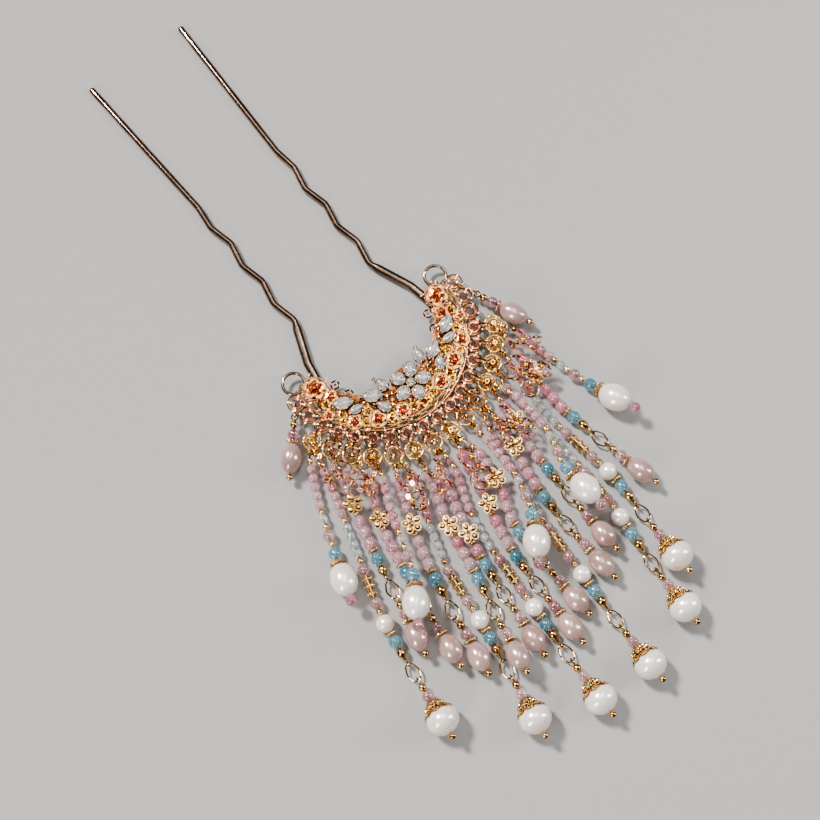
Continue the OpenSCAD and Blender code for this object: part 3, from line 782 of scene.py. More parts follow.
class Rows(Bench):
    """Sets one piece on every point of a carrier, each with its own turn, size and tone."""

    def __init__(self) -> None:
        """Builds the tree."""
        super().__init__("rows_of_pieces", {"Piece": "Object", "Seed": "Int"})
        kept = "GeometryNodeInputNamedAttribute"
        turned = self.node(kept, {"Name": "turn"}, data_type="FLOAT_VECTOR")
        sized = self.node(kept, {"Name": "size"}, data_type="FLOAT_VECTOR")
        repeated = self.node("GeometryNodeObjectInfo", {"Object": self.given("Piece")})
        lay = {
            "Points": self.given("Carrier"),
            "Instance": repeated.outputs["Geometry"],
            "Rotation": socket_out(turned),
            "Scale": socket_out(sized),
        }
        placed = self.node("GeometryNodeInstanceOnPoints", lay).outputs["Instances"]
        tone = self.node("FunctionNodeRandomValue", {"Seed": self.given("Seed")}, data_type="FLOAT")
        toned = self.node(
            "GeometryNodeStoreNamedAttribute",
            {"Geometry": placed, "Name": "tone", "Value": socket_out(tone)},
            data_type="FLOAT",
            domain="INSTANCE",
        )
        self.close(toned.outputs["Geometry"])

    def lay(
        self, name: str, shape: Shape, places: Sequence[Matrix], finish: Finish, seed: int
    ) -> Mesh:
        """Lays copies of a shape.

        Args:
            name: Name of the shape.
            shape: The shape about the origin.
            places: Place of each copy from the middle between the eye rings.
            finish: Finish of the copies.
            seed: Seed of their tones.

        Returns:
            The mesh of all copies.
        """
        repeated = pattern(name, shape, finish)
        carrier = bpy.data.meshes.new(name + "_places")
        carrier.from_pydata([metres(m.translation) for m in places], [], [])
        turns, sizes = [m.to_euler() for m in places], [m.to_scale() for m in places]
        for label, values in (("turn", turns), ("size", sizes)):
            layer = carrier.attributes.new(label, "FLOAT_VECTOR", "POINT")
            layer.data.foreach_set("vector", [x for v in values for x in v])
        made = self.run(carrier, finish, {"Piece": repeated, "Seed": seed})
        bpy.data.objects.remove(repeated)
        return made


class Wire(Bench):
    """Draws a round wire along the edges of a carrier."""

    def __init__(self) -> None:
        """Builds the tree."""
        super().__init__("wire_on_path", {"Wire radius": "Float", "Sides": "Int"})
        line = self.node("GeometryNodeMeshToCurve", {"Mesh": self.given("Carrier")})
        size = {"Resolution": self.given("Sides"), "Radius": self.given("Wire radius")}
        rim = self.node("GeometryNodeCurvePrimitiveCircle", size)
        along = {"Curve": line.outputs["Curve"], "Profile Curve": rim.outputs["Curve"]}
        solid = self.node("GeometryNodeCurveToMesh", {**along, "Fill Caps": True})
        soft = self.node("GeometryNodeSetShadeSmooth", {"Geometry": solid.outputs["Mesh"]})
        self.close(soft.outputs["Geometry"])

    def draw(
        self, name: str, paths: Sequence[Path], radius: float, finish: Finish, sides: int = 8
    ) -> Mesh:
        """Draws wires of one radius along paths, as one mesh."""
        size = {"Wire radius": radius * MM, "Sides": sides}
        return self.run(edges_along(name, paths), finish, size)


class Chain(Bench):
    """Lays links along the edges of a carrier, every second one on edge."""

    def __init__(self) -> None:
        """Builds the tree."""
        super().__init__("links_on_path", {"Link": "Object", "Pitch": "Float"})
        line = self.node("GeometryNodeMeshToCurve", {"Mesh": self.given("Carrier")})
        spaced = {"Curve": line.outputs["Curve"], "Length": self.given("Pitch")}
        even = self.node("GeometryNodeResampleCurve", spaced, mode="LENGTH")
        way = self.node("GeometryNodeInputTangent").outputs["Tangent"]
        ahead = self.node("FunctionNodeAlignRotationToVector", {"Vector": way}, axis="X")
        number = self.node("GeometryNodeInputIndex").outputs["Index"]
        odd = self.node("ShaderNodeMath", {0: number, 1: 2.0}, operation="MODULO").outputs[0]
        angle = self.node("ShaderNodeMath", {0: odd, 1: math.pi / 2}, operation="MULTIPLY")
        roll = self.node("ShaderNodeCombineXYZ", {"X": angle.outputs[0]})
        both = {0: ahead.outputs["Rotation"], 1: roll.outputs["Vector"]}
        rolled = self.node("FunctionNodeRotateRotation", both, rotation_space="LOCAL")
        link = self.node("GeometryNodeObjectInfo", {"Object": self.given("Link")})
        lay = {
            "Points": even.outputs["Curve"],
            "Instance": link.outputs["Geometry"],
            "Rotation": rolled.outputs["Rotation"],
        }
        self.close(self.node("GeometryNodeInstanceOnPoints", lay).outputs["Instances"])

    def hang(
        self, name: str, paths: Sequence[Path], link: Shape, pitch: float, finish: Finish
    ) -> Mesh:
        """Hangs chains.

        Args:
            name: Name of the mesh.
            paths: Points of each chain.
            link: One link about the origin, long along X.
            pitch: Distance between links.
            finish: Finish of the links.

        Returns:
            The mesh of all links.
        """
        repeated = pattern(name, link, finish)
        values = {"Link": repeated, "Pitch": pitch * MM}
        made = self.run(edges_along(name, paths), finish, values)
        bpy.data.objects.remove(repeated)
        return made


ROWS = Rows()
WIRE = Wire()
CHAIN = Chain()


def piece(name: str, meshes: Sequence[Mesh], nodes: Sequence[str] = ()) -> None:
    """Joins meshes into one named piece that rides with the hairpin.

    Args:
        name: Name of the piece.
        meshes: Its meshes.
        nodes: CAD nodes that it stands for.
    """
    parts = [linked(name, data) for data in meshes]
    made = parts[0]
    if len(parts) > 1:
        with bpy.context.temp_override(
            active_object=made, object=made, selected_objects=parts, selected_editable_objects=parts
        ):
            bpy.ops.object.join()
    made.name = made.data.name = name
    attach(made, "root")
    if nodes:
        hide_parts(*nodes)
    log.info("%s: %d faces", name, len(made.data.polygons))


# The wire fork


@dataclass
class Fork:
    """Bent wire with two crimped prongs, hammered wider at each foot."""

    wire: float = 0.88
    tip: Pair = (14.0, 94.2)
    crimp: Pair = (12.25, 50.7)
    crimps: int = 6
    swing: float = 0.7
    step: float = 6.35
    bend: float = 3.0
    foot: Pair = (15.8, 1.7)
    ankle: float = 5.6
    flat: float = 1.3
    # Degrees round the blunt tip, and steps round a bend
    tip_turns: tuple[int, ...] = (8, 24, 42, 60, 76, 90)
    bend_steps: int = 6
    # Share of the way to the foot and how far it is flattened there
    flattening: tuple[Pair, ...] = ((0.1, 0.0), (0.14, 0.35), (0.18, 0.85), (0.21, 1.0), (0.6, 1.0))
    arc_r: float = 16.8
    arc_y: float = -4.5

    def corners(self, s: int) -> list[Vector]:
        """Corners of one prong from its tip.

        Args:
            s: Side, minus one or one.

        Returns:
            The corners at the wire's height.
        """
        x, y = self.crimp
        plan = [self.tip, (x - 0.05, y)]
        for i in range(1, self.crimps + 1):
            plan.append((x + self.swing * (1 if i % 2 else -1), y - self.step * i))
        plan += [self.foot, (self.arc_r, self.foot[1] - self.ankle), (self.arc_r, self.arc_y)]
        return [Vector((s * a, b, self.wire)) for a, b in plan]

    def prong(self, s: int) -> list[tuple[Vector, float]]:
        """Middle line of one prong with the half width of the wire.

        Args:
            s: Side, minus one or one.

        Returns:
            Points and half widths from the tip to the hidden arc.
        """
        p = self.corners(s)
        ahead = (p[1] - p[0]).normalized()
        line = []
        for k in self.tip_turns:
            t = math.radians(k)
            line.append((p[0] + ahead * self.wire * (1 - math.cos(t)), self.wire * math.sin(t)))
        last = self.crimps + 1
        for i in range(1, len(p) - 1):
            a, c = (p[i] - p[i - 1]).normalized(), (p[i + 1] - p[i]).normalized()
            bend = math.atan2(a.cross(c).z, a.dot(c))
            inward = math.copysign(1, bend) * Vector((-a.y, a.x, 0))
            hub = p[i] - a * self.bend * math.tan(abs(bend) / 2) + inward * self.bend
            for k in range(self.bend_steps + 1):
                w = Matrix.Rotation(bend * k / self.bend_steps, 3, "Z")
                half = self.wire * (self.flat if i > last else 1)
                line.append((hub - (w @ inward) * self.bend, half))
            if i == last:
                for share, done in self.flattening:
                    half = self.wire * (1 + (self.flat - 1) * done)
                    line.append((p[i].lerp(p[i + 1], share), half))
        return line

    def build(self) -> None:
        """Builds and dresses the fork."""
        count, taper, sides = 40, 8.6, 28
        middle = []
        for k in range(count + 1):
            a = math.pi * (1 + k / count)
            wide = 1 + (self.flat - 1) * max(0.0, 1 - min(k, count - k) / taper)
            x, y = self.arc_r * math.cos(a), self.arc_y + self.arc_r * math.sin(a)
            middle.append((Vector((x, y, self.wire)), self.wire * wide))
        line = self.prong(-1) + middle + self.prong(1)[::-1]
        points, widths = [p for p, _ in line], [w for _, w in line]
        heights = [self.wire * math.sqrt(self.wire / w) if w > self.wire else w for w in widths]
        wire = sweep(points, widths, heights, sides, level=True)
        piece("fork_wire", [wire.mesh("fork_wire", BRONZE)], ["pin"])


# The crescent head


@dataclass
class Crescent:
    """Cast and wired crescent head with roses, rails, border rings and stone settings."""

    low: float = 1.92
    plate: float = 0.75
    plate_r: float = 20.9
    hollow_r: float = 17.6
    hollow_y: float = 4.9
    rail_r: float = 21.0
    rail_step: float = 0.72
    rail_w: float = 0.5
    rings: int = 19
    border_r: float = 24.2
    border_step: float = 9.8
    ring_hole: float = 0.87
    ring_w: float = 0.76
    scallop_r: float = 2.0
    scallop_wire: float = 0.2
    rim_wire: float = 0.22
    scroll: Pair = (0.95, 0.25)
    curl_wire: Pair = (0.19, 0.2)
    boss_at: Pair = (5.7, -14.0)
    eye_r: float = 2.65
    eye_wire: float = 0.42
    eye_at: Pair = (21.7, -0.5)
    hole: float = 0.62
    seat_r: float = 4.5
    seat_hole: float = 0.75
    # Place, width and whether it has a rim
    flowers: Table = (
        (18.7, -4.7, 5.9, 1),
        (16.9, -8.7, 3.4, 0),
        (20.0, -12.0, 2.6, 0),
        (16.2, -17.0, 4.4, 1),
        (11.6, -19.9, 4.8, 1),
        (5.7, -22.0, 4.4, 1),
    )
    # Place and width
    buds: tuple[Triple, ...] = (
        (0.0, -23.0, 3.8), (2.9, -22.9, 2.3), (8.8, -21.6, 2.6), (8.6, -23.0, 1.8), (14.1, -18.9, 2.2),
        (12.2, -17.0, 2.5), (17.4, -13.8, 2.4), (18.3, -15.1, 1.8), (18.9, -9.6, 2.6),
        (17.4, -10.9, 1.8), (3.4, -21.0, 1.9), (6.9, -19.7, 1.8), (17.0, -6.6, 1.9), (11.6, -15.2, 1.7),
    )
    # Count, inner and outer radius, half angle, start and rise in height, first angle
    whorls: Table = (
        (5, 0.16, 0.5, 42, 0.0, 0.2, 0),
        (5, 0.1, 0.38, 40, 0.05, 0.24, 36),
        (4, 0.05, 0.26, 50, 0.1, 0.25, 10),
        (3, 0.02, 0.15, 66, 0.16, 0.22, 40),
    )
    scroll_rings: tuple[Pair, ...] = ((14.2, -6.9), (13.0, -10.7))
    # Both ends and the half width
    stems: tuple[tuple[Pair, Pair, float], ...] = (
        ((14.9, -7.5), (17.4, -8.8), 0.3),
        ((13.7, -11.1), (16.4, -12.4), 0.3),
        ((18.7, -4.7), (21.0, -1.7), 0.45),
        ((5.7, -14.0), (4.8, -17.5), 0.5),
        ((5.7, -14.0), (6.3, -11.7), 0.2),
        ((9.2, -14.9), (9.6, -17.0), 0.6),
    )
    # Place, radius, first and last angle
    curls: Table = (
        (13.4, -15.6, 1.5, 20, 250),
        (9.9, -21.6, 1.1, 150, 380),
        (3.0, -22.4, 1.3, -30, 200),
        (18.6, -14.6, 1.2, 60, 300),
        (19.6, -8.6, 1.1, -60, 170),
        (7.6, -16.6, 1.0, 200, 420),
    )

    @property
    def top(self) -> float:
        """Height of the plate's upper face."""
        return self.low + self.plate

    @property
    def middle(self) -> float:
        """Height halfway through the plate."""
        return self.low + self.plate / 2

    @property
    def hub(self) -> Vector:
        """Middle of the hollow side's arc."""
        return CENTRE + Vector((0, self.hollow_y, 0))

    def ring_angle(self, i: int) -> float:
        """Angle of a border ring in degrees."""
        return (i - self.rings // 2) * self.border_step - 90

    def circle(self, x: float, y: float, r: float, n: int) -> list[Vector]:
        """Points of a level circle."""
        return [Vector((x, y, 0)) + p for p in ring_points(r, 0.0, n)]

    def clear_of(self, point: Vector, room: float) -> bool:
        """Whether a point is off every rose by more than the room."""
        sides = [(s * x, y, d) for x, y, d, _ in self.flowers for s in (-1, 1)]
        return all((point - Vector((x, y, 0))).length > d / 2 + room for x, y, d in sides)

    def pierced_plate(self) -> Shape:
        """Crescent sheet with its lattice of holes.

        Returns:
            The sheet.
        """
        ends, lowest, points = -0.7, -4.6, 90
        edge = math.degrees(math.asin(ends / self.plate_r))
        outer = [180 - edge + (180 + 2 * edge) * k / points for k in range(points + 1)]
        start, span, steps = -18.5, 143, 70
        hollow = [math.radians(start - span * k / steps) for k in range(steps + 1)]
        inner = [self.hub + self.hollow_r * Vector((math.cos(a), math.sin(a), 0)) for a in hollow]
        rim = [polar(self.plate_r, a) for a in outer]
        outlines = [rim + [p for p in inner if p.y < lowest]]
        rows, first, row_step, pitch, room, upper = 3, 1.7, 2.3, 2.1, 0.5, -8
        for k in range(rows):
            r = self.plate_r - first - row_step * k
            step = math.degrees(pitch / r)
            for j in range(-22, 23):
                h = polar(r, (j + k % 2 / 2) * step - 90)
                if (h - self.hub).length > self.hollow_r + self.hole + room and h.y < upper:
                    outlines.append(self.circle(h.x, h.y, self.hole, 12))
        return sheet(outlines, self.low, self.top)

    def seat(self) -> Shape:
        """Round seat of the stone flower with five holes.

        Returns:
            The seat, a little higher than the plate.
        """
        reach, proud = 3.2, 0.02
        outlines = [self.circle(FLOWER_AT.x, FLOWER_AT.y, self.seat_r, 60)]
        for j in range(5):
            a = math.radians(j * 72 - 90)
            x, y = reach * math.cos(a), FLOWER_AT.y + reach * math.sin(a)
            outlines.append(self.circle(x, y, self.seat_hole, 14))
        return sheet(outlines, self.low + proud, self.top + proud)

    def filigree(self) -> Mesh:
        """Small wire curls soldered all over the open parts of the sheet.

        Returns:
            Their mesh.
        """
        places: list[Matrix] = []
        rows, first, row_step, pitch, reach = 8, 0.75, 1.12, 1.16, 82
        room, rose_room, upper, lift = 0.45, 0.25, -5.5, 0.12
        for k in range(rows):
            r = self.plate_r - first - row_step * k
            step = math.degrees(pitch / r)
            for j in range(int(-reach / step), int(reach / step) + 1):
                p = polar(r, (j + k % 2 / 2) * step - 90)
                if (p - self.hub).length < self.hollow_r + room or p.y > upper:
                    continue
                if self.clear_of(p, rose_room):
                    tilt = turn(40 * math.sin(7 * j + k), "X") @ turn(30 * math.cos(5 * j - k), "Y")
                    places.append(over(p, self.top + lift) @ turn(77 * j) @ tilt)
        curl = loop(0.42, 0.13, 10, 5).add(ball(0.18, 6, 4))
        return ROWS.lay("filigree", curl, places, CHAMPAGNE, seed=19)

    def rails(self) -> list[Mesh]:
        """Two plain rails with two thin wires that cross between them.

        Returns:
            Their meshes.
        """
        made = Shape()
        start, stop, count = 175.8, 364.2, 96
        turns = [start + (stop - start) * i / count for i in range(count + 1)]
        for r in (self.rail_r, self.rail_r + 2 * self.rail_step):
            line = [polar(r, a) + above(self.middle) for a in turns]
            made.add(sweep(line, self.rail_w / 2, self.plate / 2, 10, level=True))
        first, span, count, wires = 176.4, 187.2, 192, 4
        swing, fade, lift, bob = 0.95, 0.12, 0.3, 0.14
        crossed = []
        for n in range(wires):
            line = []
            for k in range(count + 1):
                a = first + span * k / count
                w = math.pi * (a - first) / self.border_step * (1 if n % 2 else 0.5) + n * math.pi / 2
                r = self.rail_r + self.rail_step * (1 + (swing - fade * n) * math.cos(w))
                line.append(polar(r, a) + above(self.middle + lift + bob * math.sin(w)))
            crossed.append(line)
        return [made.mesh("rails", ROSE_GOLD), WIRE.draw("crossed", crossed, 0.15, CHAMPAGNE)]

    def border(self) -> list[Mesh]:
        """Row of border rings in their scallops.

        Returns:
            Their meshes.
        """
        wire = self.ring_w * 0.27
        ring = loop(self.ring_hole + wire, wire, 24, 8, self.plate / 2)
        ring.add(loop(self.ring_hole + self.ring_w - wire, wire, 24, 8, self.plate / 2))
        ring.add(loop(self.ring_hole + self.ring_w / 2, wire, 24, 6, self.plate * 0.3))
        scallop = loop(self.scallop_r, self.scallop_wire, 28, 8, self.plate / 2 - 0.05)
        angles = [self.ring_angle(i) for i in range(self.rings)]
        places = [over(polar(self.border_r, a), self.middle) @ turn(a) for a in angles]
        return [
            ROWS.lay("border_ring", ring, places, ROSE_GOLD, seed=3),
            ROWS.lay("scallop", scallop, places, CHAMPAGNE, seed=4),
        ]

    def petal(self, inner: float, outer: float, spread: float, lift: float, rise: float) -> Shape:
        """One cupped petal with a rolled lip, pointing along X.

        Args:
            inner: Radius where it starts.
            outer: Radius of its tip.
            spread: Half its angle in degrees.
            lift: Height where it starts.
            rise: How much it rises.

        Returns:
            The closed petal.
        """
        made = Shape()
        across, out, thick = 6, 4, 0.16
        for side in (0, 1):
            for v in range(out + 1):
                t = v / out
                r = inner + (outer - inner) * t
                for u in range(across + 1):
                    s = 2 * u / across - 1
                    belly = 0.45 + 0.55 * math.sin(math.pi * min(t + 0.25, 0.85))
                    a = math.radians(spread * s * belly)
                    reach = r * (1 - 0.16 * t * s * s)
                    z = lift + rise * (t - 0.45 * t**4) + 0.1 * s * s * rise
                    made.points.append(Vector((reach * math.cos(a), reach * math.sin(a), z - side * thick)))
        row = across + 1
        n = (out + 1) * row
        for v in range(out):
            for u in range(across):
                a = v * row + u
                b, c, d = a + 1, a + row + 1, a + row
                made.face(a, d, c, b, soft=True)
                made.face(a + n, b + n, c + n, d + n, soft=True)
        rim = list(range(row))
        rim += [v * row + across for v in range(1, out + 1)]
        rim += [out * row + u for u in range(across - 1, -1, -1)]
        rim += [v * row for v in range(out - 1, 0, -1)]
        for a, b in zip(rim, rim[1:] + rim[:1]):
            made.face(a, b, b + n, a + n, soft=True)
        return made

    def rose(self) -> Shape:
        """Cast rose one millimetre wide about the origin: turns of petals round a bud.

        Returns:
            The rose.
        """
        made = Shape()
        for count, inner, outer, spread, lift, rise, start in self.whorls:
            for j in range(count):
                blade = self.petal(inner, outer, spread, lift, rise)
                made.add(blade, turn(start + j * 360 / count))
        return made.add(ball(0.07, 8, 6), shift(0, 0, 0.3))

    def roses(self) -> list[Mesh]:
        """Roses, those with a rim set in a ring, and the small balls at the tips of stems.

        Returns:
            Their meshes.
        """
        low, top, wire, row = self.low, self.top, self.rim_wire, 26
        rims, pads = Shape(), Shape()
        blooms, buds, leaves, grains = (list[Matrix]() for _ in range(4))
        for s in (-1, 1):
            for k, (x, y, d, rim) in enumerate(self.flowers):
                at, r = shift(s * x, y), d / 2
                edge = [(r - 0.06, low), (r, low + 0.08), (r, top - 0.08), (r - 0.06, top)]
                pads.add(lathe(edge, 32), at)
                size = (d - rim * 0.7) * 1.02
                blooms.append(at @ shift(0, 0, top - 0.05) @ turn(37 * k + 20 * s) @ grow(size))
                if rim:
                    rims.add(loop(r - wire, wire, 36, 10, 0.3), at @ shift(0, 0, top + 0.2))
                    for j in range(5):
                        leaf = at @ turn(72 * j + 12 * k) @ shift(r - 0.3, 0, top + 0.1)
                        leaves.append(leaf @ grow(0.9))
                    if d > 5:
                        for j in range(row):
                            grains.append(at @ turn(j * 360 / row) @ shift(r + 0.02, 0, top + 0.02))
            grains.append(shift(s * 6.3, -11.7, top + 0.1) @ grow(2.6))
            for n, (x, y, d) in enumerate(self.buds[0 if s > 0 else 1 :]):
                buds.append(shift(s * x, y, top - 0.02) @ turn(51 * n + 25 * s) @ grow(d))
                leaf = shift(s * x, y, top) @ turn(77 * n) @ shift(d / 2 - 0.2, 0)
                leaves.append(leaf @ grow(0.8))
        for j in range(-30, 31):
            p = polar(self.rail_r - 0.62, -90 + j * 2.75)
            if self.clear_of(p, 0.0):
                grains.append(over(p, top + 0.05))
        return [
            rims.mesh("rims", CHAMPAGNE),
            pads.mesh("pads", ROSE_GOLD),
            ROWS.lay("rose", self.rose(), blooms, COPPER, seed=5),
            ROWS.lay("bud", self.rose(), buds, YELLOW_GOLD, seed=15),
            ROWS.lay("leaf", self.petal(0.0, 1.5, 24, 0.0, 0.45), leaves, ROSE_GOLD, seed=16),
            ROWS.lay("grain", ball(0.23, 8, 6), grains, ROSE_GOLD, seed=6),
        ]

    def scrolls(self) -> Shape:
        """Scroll rings, curls and stems along the hollow side.

        Returns:
            Their metal.
        """
        z, low, top, half = self.middle, self.low, self.top, self.plate / 2
        count, tighter = 18, 0.45
        boss = [(0.0, low), (0.85, low + 0.05), (0.9, z), (0.85, top - 0.05), (0.0, top)]
        made = Shape()
        for s in (-1, 1):
            for x, y in self.scroll_rings:
                made.add(loop(*self.scroll, 22, 8, half), shift(s * x, y, z))
                made.add(ball(0.32, 10, 6), shift(s * x, y, top - 0.1))
            for start, stop, wide in self.stems:
                line = [Vector((s * x, y, z)) for x, y in (start, stop)]
                made.add(sweep(line, wide, half, 10, level=True))
            made.add(lathe(boss, 20), shift(s * self.boss_at[0], self.boss_at[1]))
            for x, y, r, first, last in self.curls:
                line = []
                for k in range(count + 1):
                    a = math.radians(first + (last - first) * k / count)
                    w = r * (1 - tighter * k / count)
                    line.append(Vector((s * (x + w * math.cos(a)), y + w * math.sin(a), top + 0.12)))
                made.add(sweep(line, *self.curl_wire, 8, level=True))
        return made

    def eyes(self) -> Shape:
        """The two eye rings.

        Returns:
            Their metal.
        """
        made = Shape()
        (x, y), z = self.eye_at, self.low + self.eye_wire + 0.06
        for s in (-1, 1):
            made.add(loop(self.eye_r, self.eye_wire, 44, 14), shift(s * x, y, z))
        return made

    def settings(self, gems: "Gems") -> Shape:
        """A gallery wire under each stone, with its legs and its claws.

        Args:
            gems: The clear stones.

        Returns:
            The metal that holds them.
        """
        made = Shape()
        drop, wire, leg, count = 0.32, 0.17, 0.15, 24
        claw, claw_ball, near, far = [0.24, 0.22, 0.2], 0.27, 0.1, 0.5
        z = gems.girdle - drop
        for place, long, wide, cut in gems.stones():
            edge = [gems.edge(long + near, wide + near, cut, k * 360 / count) for k in range(count)]
            rim = [place @ (p + above(-drop)) for p in edge]
            made.add(sweep(rim, wire, wire, 8, closed=True, level=True))
            base = [p.lerp(place @ above(-drop), 0.45) for p in rim]
            for i in range(0, count, 4):
                foot = Vector((base[i].x, base[i].y, self.top - 0.1))
                made.add(sweep([foot, rim[i]], leg, None, 6))
            for a in (0, 180) if cut is not Cut.ROUND else (0, 120, 240):
                p = place @ gems.edge(long + far, wide + far, cut, a)
                q = place @ gems.edge(long - near, wide - near, cut, a)
                line = ((p.x, p.y, z - 0.9), (p.x, p.y, z + 0.2), (q.x, q.y, z + 0.62))
                made.add(sweep([Vector(v) for v in line], claw, None, 8))
                made.add(ball(claw_ball, 10, 6), shift(q.x, q.y, z + 0.6))
        return made

    def foil(self, gems: "Gems") -> list[Mesh]:
        """Star of foil wedges behind each stone: white ones throw the light back, dark ones are painted facet
        reflection.

        Args:
            gems: The clear stones.

        Returns:
            The white wedges, and the dark wedges of painted facet reflection.
        """
        bright, dark = Shape(), Shape()
        point, wedges = -gems.point, 16
        section = ((0.04, point - 0.12), (1.0, -0.08), (1.0, -0.26), (0.04, point - 0.3))
        for place, long, wide, cut in gems.stones():
            for j in range(wedges):
                wedge = Shape()
                for k in (j, j + 1):
                    for share, z in section:
                        corner = gems.edge(long * share, wide * share, cut, k * 360 / wedges)
                        wedge.points.append(corner + above(z))
                for i in range(4):
                    n = (i + 1) % 4
                    wedge.face(i, n, n + 4, i + 4)
                wedge.face(3, 2, 1, 0)
                wedge.face(4, 5, 6, 7)
                # Every fourth wedge is dark: painted dark facet reflection
                (dark if j % 4 == 1 else bright).add(wedge, place)
        return [bright.mesh("bright", WHITE_FOIL), dark.mesh("dark", PAINTED_DARK_REFLECTION)]

    def build(self, gems: "Gems") -> None:
        """Builds and dresses the head.

        Args:
            gems: The clear stones that it holds.
        """
        plate = self.pierced_plate().add(self.seat())
        head = [plate.mesh("plate", DEEP_ROSE_GOLD), self.scrolls().mesh("scrolls", ROSE_GOLD)]
        head += [self.filigree(), *self.roses()]
        piece("crescent_head", head, ["crown"])
        piece("rails_and_border", self.rails() + self.border())
        piece("eye_rings", [self.eyes().mesh("eyes", BRONZE)])
        held = [self.settings(gems).mesh("settings", CHAMPAGNE), *self.foil(gems)]
        piece("settings", held)


@dataclass
class Gems:
    """Clear cut stones, each with a table, a crown and a point."""

    girdle: float = 3.85
    table: float = 0.5
    point: float = 0.75
    share: float = 0.6
    # Place, angle, length, width and outline
    right: tuple[tuple[float, float, float, float, float, Cut], ...] = (
        (15.7, -11.9, 28, 5.2, 3.0, Cut.MARQUISE),
        (9.2, -14.9, 32, 5.2, 2.9, Cut.MARQUISE),
        (8.6, -18.5, 60, 3.6, 2.4, Cut.PEAR),
        (14.2, -15.0, 7, 4.2, 2.0, Cut.MARQUISE),
        (5.7, -14.0, 75, 3.4, 2.4, Cut.PEAR),
    )
    petal: Triple = (3.2, 3.7, 3.1)
    heart: float = 2.0

    def edge(self, long: float, wide: float, cut: Cut, degrees: float) -> Vector:
        """Point of a stone's outline.

        Args:
            long: Its length.
            wide: Its width.
            cut: Its outline.
            degrees: Angle of the point.

        Returns:
            The point at the height of the widest line.
        """
        a = math.radians(degrees)
        c, s = math.cos(a), math.sin(a)
        shape = abs(s) if cut is Cut.MARQUISE else 1 - 0.4 * c if cut is Cut.PEAR else 1.0
        return Vector((long / 2 * c, wide / 2 * s * shape, 0.0))

    def stones(self) -> list[tuple[Matrix, float, float, Cut]]:
        """Finds where the stones lie.

        Returns:
            Place, length, width and outline of every stone.
        """
        made = []
        for s in (-1, 1):
            for x, y, a, long, wide, cut in self.right:
                place = shift(s * x, y, self.girdle) @ turn(a if s > 0 else 180 - a)
                made.append((place, long, wide, cut))
        flower = over(FLOWER_AT, self.girdle)
        reach, long, wide = self.petal
        for j in range(5):
            place = flower @ turn(j * 72 - 90) @ shift(reach, 0) @ turn(180)
            made.append((place, long, wide, Cut.ROUND))
        return made + [(flower @ shift(0, 0, 0.1), self.heart, self.heart, Cut.ROUND)]

    def stone(self, long: float, wide: float, cut: Cut) -> Shape:
        """One cut stone about the middle of its widest line.

        Args:
            long: Its length.
            wide: Its width.
            cut: Its outline.

        Returns:
            The stone.
        """
        rows = (
            (-self.point, 0.06, False),
            (-self.point * 0.5, 0.56, True),
            (0.0, 1.0, False),
            (0.1, 1.0, False),
            (self.table * 0.62, 0.84, True),
            (self.table, self.share, False),
        )
        rings = []
        for z, share, odd in rows:
            turns = [45 * (j + odd / 2) for j in range(8)]
            line = [self.edge(long * share, wide * share, cut, a) + above(z) for a in turns]
            rings.append((line, odd))
        return facets(rings)

    def build(self) -> None:
        """Builds and dresses the stones."""
        made = Shape()
        for place, long, wide, cut in self.stones():
            made.add(self.stone(long, wide, cut), place)
        piece("clear_stones", [made.mesh("clear_stones", CLEAR_STONE)], ["stones"])


# Hangers under the border


